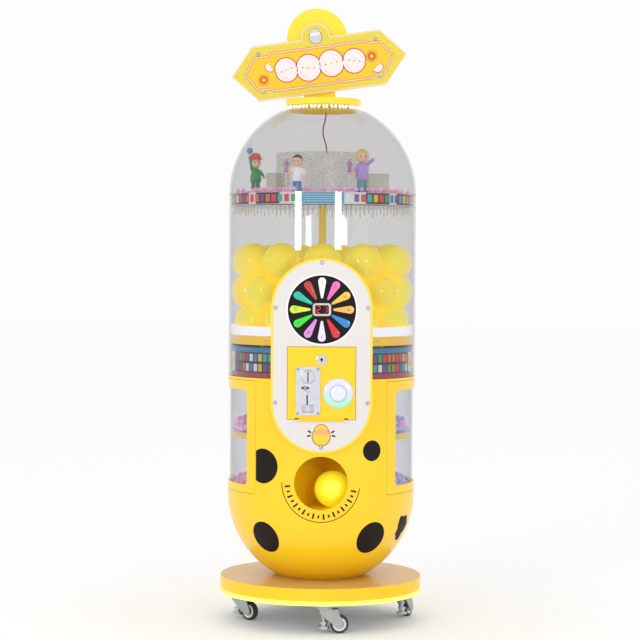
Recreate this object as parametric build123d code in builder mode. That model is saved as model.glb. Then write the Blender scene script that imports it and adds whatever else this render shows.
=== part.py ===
"""Capsule toy vendor: a round display machine with a clear capsule bin and dome.

Millimetres, +Z up. The origin is on the floor, on the machine's vertical axis.
The front faces -Y. An azimuth is counted from the front, positive towards +X.
"""
import os
from math import acos, atan2, cos, degrees, hypot, pi, radians, sin, sqrt, tan

from build123d import *

os.makedirs("parts", exist_ok=True)

# ---- Driving dimensions -------------------------------------------------------------
BODY_R = 260.0            # outside radius of the shell, the clear cylinder and the dome
SHELL_WALL = 5.0
ACRYLIC_WALL = 5.0
SPHERE_Z = 356.0          # centre height of the round bottom
FLAT_Z = 126.0            # underside of the shell, on top of the base disc
SHELL_TOP_Z = 683.0
CYLINDER_TOP_Z = 1186.0   # also the dome's centre height
FIT = 0.3                 # gap between parts that are pushed together
RUNNING = 0.06            # radial clearance of a shaft in its bore

# Base
DISC_R = BODY_R + 20.0    # the disc stands out past the body
DISC_WALL = 18.0
DISC_TOP = 6.0
BASE_Z = 80.0             # underside of the steel base plate
BASE_PLATE = 12.0
BASE_PLATE_R = DISC_R - 8.5
LIGHT_RING_R = DISC_R + 2.0

# Casters
CASTER_PITCH_R = DISC_R - 50.0
CASTER_TURN = 2.5         # turn of the four-caster pattern about the machine's axis
WHEEL_R = 25.0
WHEEL_WIDTH = 18.0
CASTER_PLATE = 62.0
CASTER_PLATE_THICK = 4.0
KINGPIN_R = 9.0
FOOT_STEM_R = 5.0
FOOT_PAD_R = 15.0
FOOT_LIFT = 12.0          # height of the raised foot, and its travel
FOOT_PAD_HIGH = 7.0
FOOT_NECK_HIGH = 7.0
FOOT_KNOB_R = 11.0
FOOT_KNOB_HIGH = 6.0
CASTER_TRAIL = WHEEL_R + FOOT_PAD_R + 2.0   # from the swivel axis to the wheel's axle
FORK_CHEEK = 3.0
FORK_HEAD_R = 26.0
FORK_BRIDGE = (52.0, 14.0)                  # length over the wheel, and its middle's place
FORK_CORNER_R = 6.0
AXLE_BOSS_R = 11.0
AXLE_R = 4.0

# Side cabinets and doors
DOOR_AZ = (43.0, 137.0)
DOOR_Z = (368.0, 676.0)
DOOR_GAP = 1.0
WINDOW_AZ = (51.0, 129.0)
WINDOW_Z = (391.0, 650.0)
WINDOW_CORNER_R = 12.0
PANE = 2.9
CASE_INNER_X = 90.0
CASE_HALF_Y = 175.0
CASE_BACK_GAP = 1.7
CASE_WALL = 3.0
SHELF_Z = 520.0
SHELF_THICK = 10.0
HINGE_PIN_R = 2.5
HINGE_BARREL_R = 4.0
REAR_AZ = (150.0, 210.0)
REAR_Z = (400.0, 660.0)

# Capsule outlet
OUTLET_R = 72.0
OUTLET_Z = 406.0
OUTLET_FLOOR_Z = 330.0
OUTLET_BOX_TOP_Z = 484.0
OUTLET_WALL = 3.0
CHUTE_X = 12.0
CHUTE_Y = -(BODY_R - 105.0)
CHUTE_BORE_R = 52.0
CHUTE_WALL = 2.5

# Deck, bin and rotor
DECK_THICK = 5.0
BIN_FLOOR_Z = 785.0
BIN_FLOOR_THICK = 6.0
BAND_Z = (BIN_FLOOR_Z - 13.0, BIN_FLOOR_Z + 12.0)
BAND_INNER_R = BODY_R - ACRYLIC_WALL - 10.0
LIGHT_RIM_TOP_Z = BIN_FLOOR_Z + 37.0
COLUMN_R = 8.0
COLUMN_PITCH_R = BAND_INNER_R - 20.0
POLE_R = 10.0
ROTOR_HUB_R = 55.0
ROTOR_TOP_Z = BIN_FLOOR_Z + 45.0
PADDLE_R = 142.0
PADDLE_THICK = 10.0
PADDLE_TOP_Z = BIN_FLOOR_Z + 41.0
PADDLES = 6
SHAFT_R = 14.0
GEAR_MODULE = 2.5
GEAR_TEETH = 48
PINION_TEETH = 16
GEAR_Z = BIN_FLOOR_Z - 40.0
GEAR_THICK = 12.0
MOTOR_R = 30.0
MOTOR_TOP_Z = GEAR_Z - 10.0
MOTOR_FLANGE_MORE = 16.0  # the square flange is this much wider than the motor
MOTOR_FLANGE_THICK = 4.0
MOTOR_SHAFT_R = 4.0

# Capsules
CAPSULE_R = 50.0
CAPSULE_WALL = 1.6
CAPSULE_GAP = 0.4
OUTER_RING_COUNT = 11
INNER_RING_R = 100.0
INNER_RING_COUNT = 5

# Display tray, drum, cap and sign
TRAY_Z = CYLINDER_TOP_Z - 36.0
TRAY_THICK = 5.0
TRAY_BAND_Z = (TRAY_Z + 3.0, CYLINDER_TOP_Z - 1.0)
TRAY_BAND_INNER_R = BODY_R - ACRYLIC_WALL - 8.0
DRUM_R = 130.0
DRUM_TOP_Z = TRAY_Z + 150.0
DRUM_WALL = 3.0
DOME_HOLE_R = 95.0
CAP_R = 105.0
CAP_LIFT = 4.0            # underside of the cap, above the rim of the dome's hole
CAP_HIGH = 18.0
CAP_SKIRT = 16.0
GLAND_R = 7.0
GLAND_LONG = 6.0
CAP_GLAND_LONG = 14.0
WIRE_R = 2.0
STAND_THICK = 12.0
STAND_HEAD_R = 84.0
STAND_HEAD_RISE = 169.0   # above the cap
STAND_HEAD_X = -18.0
STAND_NECK_WIDTH = 88.0
STAND_TAPER = 8.0
SIGN_RISE = 94.0
SIGN_X = -12.0
SIGN_TILT = 8.0
SIGN_LONG = 490.0
SIGN_FLAT = 356.0
SIGN_HIGH = 153.0
SIGN_THICK = 14.0
SIGN_FACE_THICK = 2.0
SIGN_RIM = 6.0
SIGN_BUMP_R = 42.0

# Front pod, from the service door outwards
SERVICE_SIZE = (181.0, 193.0)
POD_LOW_Z = 486.0
SERVICE_Z = POD_LOW_Z + 92.0
ROULETTE_Z = SERVICE_Z + SERVICE_SIZE[1] + 100.0
POD_Z = (POD_LOW_Z, ROULETTE_Z + 137.0)
POD_WIDTH = SERVICE_SIZE[0] + 90.0
POD_FRONT = BODY_R + 8.0  # distance of the panel's front face from the axis
POD_RIM = 5.75
POD_LEDGE = 12.0
PANEL_THICK = 4.0
SCREW_X = POD_WIDTH / 2 - 12.5
PANEL_SCREWS = [(0, POD_Z[1] - 12), (0, POD_Z[0] + 17), (-SCREW_X, ROULETTE_Z + 4), (SCREW_X, ROULETTE_Z + 4),
                (-SCREW_X, SERVICE_Z + 44), (SCREW_X, SERVICE_Z + 44)]
SCREW_R = 2.4
SCREW_HEAD_R = 4.5
SCREW_HEAD = 2.5
ROULETTE_R = 91.0
ROULETTE_FLANGE = 5.0
ROULETTE_BACK = 2.2       # thickness of the flange behind the panel
ROULETTE_PROUD = 1.5
DISPLAY_SIZE = (49.0, 34.0)
DISPLAY_LIP = 2.0
DISPLAY_PROUD = 5.0

# Service door, coin acceptor, button and lock
SERVICE_THICK = 6.0
SERVICE_PROUD = 3.0
SERVICE_PIN_R = 1.5
SERVICE_BARREL_R = 3.0
SERVICE_LUGS_X = (-66.0, 66.0)
SERVICE_LUG_LONG = 8.0
COIN_AT = (54.5 - SERVICE_SIZE[0] / 2, SERVICE_Z + 75.5)
COIN_PLATE = (65.0, 129.0)
COIN_PLATE_THICK = 2.5
COIN_BODY = (56.0, 112.0)
COIN_DEPTH = 56.0
REJECT_R = 16.8
REJECT_Z = COIN_AT[1] + 38.5
COIN_SLOT = (3.2, 28.0)
CUP = (30.0, 20.0)
CUP_Z = COIN_AT[1] - 46.5
CUP_DEPTH = 24.0
BUTTON_AT = (SERVICE_SIZE[0] / 2 - 46.0, SERVICE_Z + 70.0)
BUTTON_R = 22.4
BEZEL_R = 40.0
BEZEL_THICK = 5.0
BUTTON_TUBE_WALL = 4.0
BUTTON_TUBE_LONG = 30.0
LOCK_Z = SERVICE_Z + SERVICE_SIZE[1] - 34.0
LOCK_R = 10.0
LOCK_HEAD_R = 12.5
CAM_LONG = 50.0
CAM_WIDE = 12.0
CAM_THICK = 2.0

# ---- Sizes worked out from the driving dimensions -----------------------------------
SHELL_INNER_R = BODY_R - SHELL_WALL
ACRYLIC_INNER_R = BODY_R - ACRYLIC_WALL
DECK_Z = SHELL_TOP_Z - DECK_THICK
BASE_PLATE_TOP_Z = BASE_Z + BASE_PLATE
DOOR_FRONT = POD_FRONT + SERVICE_PROUD          # distance of the service door's face
DOOR_BACK = DOOR_FRONT - SERVICE_THICK
PANEL_BACK = POD_FRONT - PANEL_THICK
DOME_RISE = round(sqrt(BODY_R ** 2 - DOME_HOLE_R ** 2))   # rim of the dome's hole, to the whole millimetre
CAP_Z = (CYLINDER_TOP_Z + DOME_RISE + CAP_LIFT, CYLINDER_TOP_Z + DOME_RISE + CAP_LIFT + CAP_HIGH)
CAP_SKIRT_Z = CAP_Z[0] - CAP_SKIRT
STAND_HEAD = (STAND_HEAD_X, CAP_Z[1] + STAND_HEAD_RISE)
SIGN_CENTRE = (SIGN_X, CAP_Z[1] + SIGN_RISE)
CAM_TIP = CAM_LONG - CAM_WIDE / 2                         # reach of a lock's cam from its axis


# ---- Helpers ------------------------------------------------------------------------
def save(piece, node):
    """Label a finished piece and write it as its own STEP file."""
    piece.part.label = node
    export_step(piece.part, f"parts/{node}.step")


def polar(azimuth, radius):
    """Point at an azimuth counted from the front, positive towards +X."""
    return radius * sin(radians(azimuth)), -radius * cos(radians(azimuth))


def sector(from_az, to_az, radius):
    """Corner points of a wedge that reaches past the radius, for cutting a cylinder."""
    steps = max(2, round((to_az - from_az) / 30))
    reach = radius / cos(radians((to_az - from_az) / steps / 2))
    rim = [polar(from_az + (to_az - from_az) * i / steps, reach) for i in range(steps + 1)]
    return [(0, 0)] + rim


def front(distance):
    """Sketch plane that faces the front at a distance from the axis; x is X, y is Z."""
    return Plane.XZ.offset(distance)


def involute_gear(module, teeth, backlash=0.35):
    """Outline points of a spur gear with involute flanks, its first tooth on +X."""
    pitch_r = module * teeth / 2
    base_r = pitch_r * cos(radians(20))
    tip_r = pitch_r + module
    root_r = pitch_r - 1.25 * module

    def spread(radius):
        if radius <= base_r:
            return 0.0
        angle = acos(base_r / radius)
        return tan(angle) - angle

    half = pi / (2 * teeth) - backlash / (2 * pitch_r) + spread(pitch_r)
    start_r = max(base_r, root_r)
    radii = sorted({root_r, *(start_r + (tip_r - start_r) * i / 4 for i in range(5))})
    points = []
    for tooth in range(teeth):
        middle = 2 * pi * tooth / teeth
        flank = [(radius, half - spread(radius)) for radius in radii]
        for radius, offset in flank:
            points.append((radius * cos(middle - offset), radius * sin(middle - offset)))
        for radius, offset in reversed(flank):
            points.append((radius * cos(middle + offset), radius * sin(middle + offset)))
    return points


# ---- Base ---------------------------------------------------------------------------
with BuildPart() as base_plate:
    with BuildSketch(Plane.XY.offset(BASE_Z)):
        Circle(BASE_PLATE_R)
    extrude(amount=BASE_PLATE)
save(base_plate, "base_plate")

with BuildPart() as base_disc:
    with BuildSketch(Plane.XY.offset(BASE_PLATE_TOP_Z)):
        Circle(DISC_R)
    extrude(amount=FLAT_Z - BASE_PLATE_TOP_Z)
    fillet(base_disc.edges().group_by(Axis.Z)[-1], radius=1.5)
    with BuildSketch(Plane.XY.offset(BASE_PLATE_TOP_Z)):
        Circle(DISC_R - DISC_WALL)
    extrude(amount=FLAT_Z - BASE_PLATE_TOP_Z - DISC_TOP, mode=Mode.SUBTRACT)
save(base_disc, "base_disc")

with BuildPart() as base_light_ring:
    with BuildSketch(Plane.XY.offset(BASE_Z)):
        Circle(LIGHT_RING_R)
        Circle(BASE_PLATE_R + FIT, mode=Mode.SUBTRACT)
    extrude(amount=BASE_PLATE)
    round_edges = base_light_ring.edges().filter_by(GeomType.CIRCLE)
    outer_edges = round_edges.filter_by(lambda e: abs(e.radius - LIGHT_RING_R) < 0.1)
    fillet(outer_edges, radius=2.5)
save(base_light_ring, "base_light_ring")

# ---- Casters ------------------------------------------------------------------------
PLATE_BOTTOM_Z = BASE_Z - CASTER_PLATE_THICK
KINGPIN_Z = PLATE_BOTTOM_Z - 8.0
HUB_TOP_Z = PLATE_BOTTOM_Z - FIT
HUB_Z = 66.0
BRIDGE_Z = 53.0           # underside of the fork's bridge
STEM_BOSS_Z = 40.0
CHEEK_Y = WHEEL_WIDTH / 2 + 3.5
caster_azimuths = {"front": 0, "right": 90, "back": 180, "left": 270}
caster_headings = {"front": 0, "right": 68, "back": 200, "left": -37}
caster_spots = {side: polar(az + CASTER_TURN, CASTER_PITCH_R) for side, az in caster_azimuths.items()}

with BuildPart() as caster_plates:
    for x, y in caster_spots.values():
        with BuildSketch(Plane.XY.offset(PLATE_BOTTOM_Z)):
            with Locations((x, y)):
                RectangleRounded(CASTER_PLATE, CASTER_PLATE, 6)
        extrude(amount=CASTER_PLATE_THICK)
        with BuildSketch(Plane.XY.offset(KINGPIN_Z)):
            with Locations((x, y)):
                Circle(KINGPIN_R)
        extrude(amount=PLATE_BOTTOM_Z - KINGPIN_Z)
save(caster_plates, "caster_plates")

for side, (x, y) in caster_spots.items():
    heading = caster_headings[side]
    ground = Plane(origin=(x, y, 0), x_dir=(cos(radians(heading)), sin(radians(heading)), 0), z_dir=(0, 0, 1))
    # the upright plane through the wheel: local x runs along the trail, local y is up
    upright = Plane(origin=(x, y, 0), x_dir=ground.x_dir, z_dir=(sin(radians(heading)), -cos(radians(heading)), 0))

    with BuildPart() as caster_fork:
        with BuildSketch(ground.offset(HUB_Z)):
            Circle(FORK_HEAD_R)
        extrude(amount=HUB_TOP_Z - HUB_Z)
        with BuildSketch(ground.offset(BRIDGE_Z)):
            with Locations((FORK_BRIDGE[1], 0)):
                RectangleRounded(FORK_BRIDGE[0], 2 * (CHEEK_Y + FORK_CHEEK), FORK_CORNER_R)
        extrude(amount=HUB_Z - BRIDGE_Z)
        with BuildSketch(ground.offset(STEM_BOSS_Z)):
            Circle(FOOT_STEM_R + FORK_CHEEK + 1)
        extrude(amount=HUB_Z - STEM_BOSS_Z)
        for face_y in (CHEEK_Y, -CHEEK_Y - FORK_CHEEK):
            with BuildSketch(upright.offset(face_y)):
                with Locations((CASTER_TRAIL, WHEEL_R)):
                    Circle(AXLE_BOSS_R)
                with Locations((CASTER_TRAIL - 12, HUB_Z - 10)):
                    Circle(9.9)
                with Locations((-2, HUB_Z - 8)):
                    Circle(7.9)
                make_hull()
            extrude(amount=FORK_CHEEK)
        with BuildSketch(upright.offset(-CHEEK_Y - FORK_CHEEK)):
            with Locations((CASTER_TRAIL, WHEEL_R)):
                Circle(AXLE_R)
        extrude(amount=2 * (CHEEK_Y + FORK_CHEEK))
        with BuildSketch(ground.offset(KINGPIN_Z - 0.5)):
            Circle(KINGPIN_R + RUNNING)
        extrude(amount=HUB_TOP_Z - KINGPIN_Z + 1, mode=Mode.SUBTRACT)
        with BuildSketch(ground.offset(STEM_BOSS_Z - 1)):
            Circle(FOOT_STEM_R + RUNNING)
        extrude(amount=HUB_Z - STEM_BOSS_Z + 1, mode=Mode.SUBTRACT)
    save(caster_fork, f"caster_fork_{side}")

    with BuildPart() as caster_wheel:
        with BuildSketch(upright.offset(-WHEEL_WIDTH / 2)):
            with Locations((CASTER_TRAIL, WHEEL_R)):
                Circle(WHEEL_R)
        extrude(amount=WHEEL_WIDTH)
        fillet(caster_wheel.edges(), radius=3.5)
        with BuildSketch(upright.offset(-WHEEL_WIDTH / 2 - 1)):
            with Locations((CASTER_TRAIL, WHEEL_R)):
                Circle(AXLE_R + RUNNING)
        extrude(amount=WHEEL_WIDTH + 2, mode=Mode.SUBTRACT)
    save(caster_wheel, f"caster_wheel_{side}")

    with BuildPart() as caster_foot:
        with BuildSketch(ground.offset(FOOT_LIFT)):
            Circle(FOOT_PAD_R)
        extrude(amount=FOOT_PAD_HIGH)
        neck_z = FOOT_LIFT + FOOT_PAD_HIGH
        with BuildSketch(ground.offset(neck_z)):
            Circle(FOOT_STEM_R + 3)
        extrude(amount=FOOT_NECK_HIGH)
        knob_z = neck_z + FOOT_NECK_HIGH
        with BuildSketch(ground.offset(knob_z)):
            RegularPolygon(FOOT_KNOB_R, 12)
        extrude(amount=FOOT_KNOB_HIGH)
        with BuildSketch(ground.offset(knob_z + FOOT_KNOB_HIGH)):
            Circle(FOOT_STEM_R)
        extrude(amount=HUB_Z - 2 - knob_z - FOOT_KNOB_HIGH)
    save(caster_foot, f"caster_foot_{side}")

# ---- Lower shell --------------------------------------------------------------------
OPENING_LIP = 5.0         # how far the panel's edge covers the opening behind the service door
SERVICE_OPENING = (SERVICE_SIZE[0] - 17.0, SERVICE_Z + OPENING_LIP, LOCK_Z + CAM_TIP + 4.0)
HINGE_R = BODY_R + HINGE_BARREL_R + 0.2
LUG_Z = [DOOR_Z[0] + 4, (DOOR_Z[0] + DOOR_Z[1]) / 2, DOOR_Z[1] - 4]
LUG_HIGH = 14.0
REAR_LUG_Z = [REAR_Z[0] + 10, REAR_Z[1] - 10]
INLET_Z = 378.0
INLET_SIZE = (48.0, 28.0)


def hinge_lug(hinge_az, towards_az, z_low, high):
    """Hinge knuckle: a barrel outside the wall with a root that reaches into the wall."""
    hinge_x, hinge_y = polar(hinge_az, HINGE_R)
    reach = hinge_az + towards_az * 2.2
    near = hinge_az + towards_az * 0.45
    with BuildSketch(Plane.XY.offset(z_low)) as knuckle:
        with Locations((hinge_x, hinge_y)):
            Circle(HINGE_BARREL_R)
        Polygon(polar(near, BODY_R - 3), polar(reach, BODY_R - 3), polar(reach, BODY_R + 6),
                polar(near, HINGE_R + HINGE_BARREL_R - 0.8), align=None)
    extrude(knuckle.sketch, amount=high)


def hinge_pin(hinge_az, z_low, z_high):
    """Pin that joins the fixed knuckles of one hinge."""
    with BuildSketch(Plane.XY.offset(z_low)) as section:
        with Locations(polar(hinge_az, HINGE_R)):
            Circle(HINGE_PIN_R)
    extrude(section.sketch, amount=z_high - z_low)


with BuildPart() as lower_shell:
    with BuildSketch(Plane.XZ):
        with BuildLine():
            drop = SPHERE_Z - FLAT_Z
            inner_drop = drop - SHELL_WALL
            flat_r = sqrt(BODY_R ** 2 - drop ** 2)
            inner_flat_r = sqrt(SHELL_INNER_R ** 2 - inner_drop ** 2)
            outer_start = degrees(atan2(-drop, flat_r))
            inner_start = degrees(atan2(-inner_drop, inner_flat_r))
            Line((0, FLAT_Z), (flat_r, FLAT_Z))
            CenterArc((0, SPHERE_Z), BODY_R, outer_start, -outer_start)
            Line((BODY_R, SPHERE_Z), (BODY_R, SHELL_TOP_Z))
            Line((BODY_R, SHELL_TOP_Z), (SHELL_INNER_R, SHELL_TOP_Z))
            Line((SHELL_INNER_R, SHELL_TOP_Z), (SHELL_INNER_R, SPHERE_Z))
            CenterArc((0, SPHERE_Z), SHELL_INNER_R, inner_start, -inner_start)
            Line((inner_flat_r, FLAT_Z + SHELL_WALL), (0, FLAT_Z + SHELL_WALL))
            Line((0, FLAT_Z + SHELL_WALL), (0, FLAT_Z))
        make_face()
    revolve(axis=Axis.Z)
    for first, last in [DOOR_AZ, (-DOOR_AZ[1], -DOOR_AZ[0]), REAR_AZ]:
        z_low, z_high = REAR_Z if first == REAR_AZ[0] else DOOR_Z
        with BuildSketch(Plane.XY.offset(z_low)):
            with BuildLine():
                Polyline(sector(first, last, BODY_R + 10), close=True)
            make_face()
        extrude(amount=z_high - z_low, mode=Mode.SUBTRACT)
    with BuildSketch(front(BODY_R - 60)):
        with Locations((0, OUTLET_Z)):
            Circle(OUTLET_R)
        with Locations((0, (SERVICE_OPENING[1] + SHELL_TOP_Z + 5) / 2)):
            Rectangle(SERVICE_OPENING[0], SHELL_TOP_Z + 5 - SERVICE_OPENING[1])
    extrude(amount=80, mode=Mode.SUBTRACT)
    with BuildSketch(front(-BODY_R + 20)):
        with Locations((0, INLET_Z)):
            Rectangle(INLET_SIZE[0] - 8, INLET_SIZE[1] - 8)
    extrude(amount=-40, mode=Mode.SUBTRACT)
    for sign in (-1, 1):
        for lug_z in LUG_Z:
            hinge_lug(sign * DOOR_AZ[1], sign, lug_z - LUG_HIGH / 2, LUG_HIGH)
        hinge_pin(sign * DOOR_AZ[1], LUG_Z[0], LUG_Z[2])
    for lug_z in REAR_LUG_Z:
        hinge_lug(REAR_AZ[0], -1, lug_z - LUG_HIGH / 2, LUG_HIGH)
    hinge_pin(REAR_AZ[0], REAR_LUG_Z[0], REAR_LUG_Z[1])
save(lower_shell, "lower_shell")


def barrel_bore(hinge_az, z_low, z_high):
    """Running bore through a moving knuckle."""
    with BuildSketch(Plane.XY.offset(z_low - 1)) as section:
        with Locations(polar(hinge_az, HINGE_R)):
            Circle(HINGE_PIN_R + RUNNING)
    extrude(section.sketch, amount=z_high - z_low + 2, mode=Mode.SUBTRACT)


# ---- Side doors, windows and display cases ------------------------------------------
EDGE_GAP = degrees(DOOR_GAP / BODY_R)
DOOR_BARREL_HIGH = 30.0

for side, sign in (("right", 1), ("left", -1)):
    door_az = sorted((sign * (DOOR_AZ[0] + EDGE_GAP), sign * (DOOR_AZ[1] - EDGE_GAP)))
    window_az = sorted((sign * WINDOW_AZ[0], sign * WINDOW_AZ[1]))

    with BuildPart() as side_door:
        with BuildSketch(Plane.XY.offset(DOOR_Z[0] + DOOR_GAP)):
            Circle(BODY_R)
            Circle(SHELL_INNER_R, mode=Mode.SUBTRACT)
            with BuildLine():
                Polyline(sector(*door_az, BODY_R + 10), close=True)
            make_face(mode=Mode.INTERSECT)
        extrude(amount=DOOR_Z[1] - DOOR_Z[0] - 2 * DOOR_GAP)
        with BuildSketch(Plane.XY.offset(WINDOW_Z[0])):
            with BuildLine():
                Polyline(sector(*window_az, BODY_R + 10), close=True)
            make_face()
        extrude(amount=WINDOW_Z[1] - WINDOW_Z[0], mode=Mode.SUBTRACT)
        corners = side_door.edges().filter_by(
            lambda e: abs(e.length - SHELL_WALL) < 0.2 and WINDOW_Z[0] - 1 < e.center().Z < WINDOW_Z[1] + 1)
        fillet(corners, radius=WINDOW_CORNER_R)
        for lower, upper in zip(LUG_Z[:-1], LUG_Z[1:]):
            barrel_low = (lower + upper - DOOR_BARREL_HIGH) / 2
            hinge_lug(sign * DOOR_AZ[1], -sign, barrel_low, DOOR_BARREL_HIGH)
            barrel_bore(sign * DOOR_AZ[1], barrel_low, barrel_low + DOOR_BARREL_HIGH)
    save(side_door, f"{side}_door")

    pane_az = sorted((sign * (WINDOW_AZ[0] - 2), sign * (WINDOW_AZ[1] + 2)))
    with BuildPart() as side_window:
        with BuildSketch(Plane.XY.offset(WINDOW_Z[0] - 8)):
            Circle(SHELL_INNER_R - FIT)
            Circle(SHELL_INNER_R - FIT - PANE, mode=Mode.SUBTRACT)
            with BuildLine():
                Polyline(sector(*pane_az, BODY_R + 10), close=True)
            make_face(mode=Mode.INTERSECT)
        extrude(amount=WINDOW_Z[1] - WINDOW_Z[0] + 16)
    save(side_window, f"{side}_window")

    CASE_R = SHELL_INNER_R - FIT - PANE - CASE_BACK_GAP
    case_low, case_high = DOOR_Z[0] + 10, DECK_Z
    with BuildPart() as side_case:
        with BuildSketch(Plane.XY.offset(case_low)):
            Circle(CASE_R)
            with Locations((sign * (CASE_INNER_X + CASE_R) / 2, 0)):
                Rectangle(CASE_R - CASE_INNER_X, 2 * CASE_HALF_Y, mode=Mode.INTERSECT)
        extrude(amount=case_high - case_low)
        room_x = CASE_INNER_X + CASE_WALL
        for room_low, room_high in ((case_low + CASE_WALL, SHELF_Z),
                                    (SHELF_Z + SHELF_THICK, case_high - CASE_WALL)):
            with BuildSketch(Plane.XY.offset(room_low)):
                with Locations((sign * (room_x + CASE_R + 20) / 2, 0)):
                    Rectangle(CASE_R + 20 - room_x, 2 * (CASE_HALF_Y - CASE_WALL))
            extrude(amount=room_high - room_low, mode=Mode.SUBTRACT)
    save(side_case, f"{side}_case")

# ---- Rear door and its latch --------------------------------------------------------
LATCH_AZ = REAR_AZ[1] - 9
LATCH_Z = (REAR_Z[0] + REAR_Z[1]) / 2
latch_x, latch_y = polar(LATCH_AZ, BODY_R)
latch_plane = Plane(origin=(latch_x, latch_y, LATCH_Z), x_dir=(0, 0, 1),
                    z_dir=(sin(radians(LATCH_AZ)), -cos(radians(LATCH_AZ)), 0))

with BuildPart() as rear_door:
    with BuildSketch(Plane.XY.offset(REAR_Z[0] + DOOR_GAP)):
        Circle(BODY_R)
        Circle(SHELL_INNER_R, mode=Mode.SUBTRACT)
        with BuildLine():
            Polyline(sector(REAR_AZ[0] + EDGE_GAP, REAR_AZ[1] - EDGE_GAP, BODY_R + 10), close=True)
        make_face(mode=Mode.INTERSECT)
    extrude(amount=REAR_Z[1] - REAR_Z[0] - 2 * DOOR_GAP)
    rear_barrel = (REAR_LUG_Z[0] + LUG_HIGH / 2 + 4, REAR_LUG_Z[1] - LUG_HIGH / 2 - 4)
    hinge_lug(REAR_AZ[0], 1, rear_barrel[0], rear_barrel[1] - rear_barrel[0])
    barrel_bore(REAR_AZ[0], *rear_barrel)
    with BuildSketch(latch_plane.offset(-20)):
        Circle(LOCK_R + RUNNING)
    extrude(amount=40, mode=Mode.SUBTRACT)
save(rear_door, "rear_door")

with BuildPart() as rear_latch:
    with BuildSketch(latch_plane.offset(-14)):
        Circle(LOCK_R)
    extrude(amount=15)
    with BuildSketch(latch_plane.offset(1)):
        Circle(LOCK_HEAD_R)
    extrude(amount=3)
    with BuildSketch(latch_plane.offset(4)):
        RectangleRounded(20, 6, 2)
    extrude(amount=6)
    with BuildSketch(latch_plane.offset(-14)):
        with Locations((CAM_LONG / 2 - CAM_WIDE / 2, 0)):
            RectangleRounded(CAM_LONG, CAM_WIDE, 4)
    extrude(amount=CAM_THICK)
save(rear_latch, "rear_latch")

# ---- Outlet box and drop chute ------------------------------------------------------
APEX_Y = CHUTE_Y + CHUTE_BORE_R * 1.71
BACK_LEFT_Y = APEX_Y - 110
BACK_RIGHT_Y = APEX_Y - 91
FRONT_ARC_R = SHELL_INNER_R - 3
BOX_FRONT_Y = -sqrt(FRONT_ARC_R ** 2 - CASE_INNER_X ** 2)

with BuildPart() as outlet_box:
    with BuildSketch(Plane.XY.offset(OUTLET_FLOOR_Z)):
        with BuildLine():
            Polyline((-CASE_INNER_X, BOX_FRONT_Y), (-CASE_INNER_X, BACK_LEFT_Y), (CHUTE_X, APEX_Y),
                     (CASE_INNER_X, BACK_RIGHT_Y), (CASE_INNER_X, BOX_FRONT_Y))
            ThreePointArc((CASE_INNER_X, BOX_FRONT_Y), (0, -FRONT_ARC_R), (-CASE_INNER_X, BOX_FRONT_Y))
        make_face()
    extrude(amount=OUTLET_BOX_TOP_Z - OUTLET_FLOOR_Z)
    inside_x = CASE_INNER_X - OUTLET_WALL
    with BuildSketch(Plane.XY.offset(OUTLET_FLOOR_Z + OUTLET_WALL + 1)):
        with BuildLine():
            Polyline([(-inside_x, -BODY_R), (-inside_x, BACK_LEFT_Y - 1.2), (CHUTE_X, APEX_Y - 4.4),
                      (inside_x, BACK_RIGHT_Y - 1.2), (inside_x, -BODY_R)], close=True)
        make_face()
    extrude(amount=OUTLET_BOX_TOP_Z - OUTLET_FLOOR_Z - 2 * OUTLET_WALL - 1, mode=Mode.SUBTRACT)
    with BuildSketch(Plane.XY.offset(OUTLET_BOX_TOP_Z - OUTLET_WALL - 1)):
        with Locations((CHUTE_X, CHUTE_Y)):
            Circle(CHUTE_BORE_R)
    extrude(amount=OUTLET_WALL + 2, mode=Mode.SUBTRACT)
save(outlet_box, "outlet_box")

FLOOR_BOTTOM_Z = BIN_FLOOR_Z - BIN_FLOOR_THICK
with BuildPart() as drop_chute:
    with BuildSketch(Plane.XY.offset(OUTLET_BOX_TOP_Z)):
        with Locations((CHUTE_X, CHUTE_Y)):
            Circle(CHUTE_BORE_R + CHUTE_WALL)
            Circle(CHUTE_BORE_R, mode=Mode.SUBTRACT)
    extrude(amount=FLOOR_BOTTOM_Z - OUTLET_BOX_TOP_Z)
save(drop_chute, "drop_chute")

# ---- Deck, bin floor, rings and pole ------------------------------------------------
PINION_Y = GEAR_MODULE * (GEAR_TEETH + PINION_TEETH) / 2

with BuildPart() as deck_plate:
    with BuildSketch(Plane.XY.offset(DECK_Z)):
        Circle(SHELL_INNER_R - FIT)
        with Locations((CHUTE_X, CHUTE_Y)):
            Circle(CHUTE_BORE_R + CHUTE_WALL + FIT, mode=Mode.SUBTRACT)
        with Locations((COIN_AT[0], -BODY_R)):
            Rectangle(COIN_BODY[0] + 24, 2 * (BODY_R - DOOR_FRONT + COIN_DEPTH) + 18, mode=Mode.SUBTRACT)
        with Locations((BUTTON_AT[0], -BODY_R)):
            button_room = BODY_R - DOOR_BACK + BUTTON_TUBE_LONG + 7
            Rectangle(2 * (BUTTON_R + BUTTON_TUBE_WALL) + 18, 2 * button_room, mode=Mode.SUBTRACT)
    extrude(amount=DECK_THICK)
save(deck_plate, "deck_plate")

with BuildPart() as bin_floor:
    with BuildSketch(Plane.XY.offset(FLOOR_BOTTOM_Z)):
        Circle(BAND_INNER_R - FIT)
        Circle(SHAFT_R + FIT, mode=Mode.SUBTRACT)
        with Locations((CHUTE_X, CHUTE_Y)):
            Circle(CHUTE_BORE_R, mode=Mode.SUBTRACT)
    extrude(amount=BIN_FLOOR_THICK)
    with BuildSketch(Plane.XY.offset(SHELL_TOP_Z)):
        with PolarLocations(COLUMN_PITCH_R, 4, start_angle=45):
            Circle(COLUMN_R)
    extrude(amount=FLOOR_BOTTOM_Z - SHELL_TOP_Z)
save(bin_floor, "bin_floor")

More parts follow.
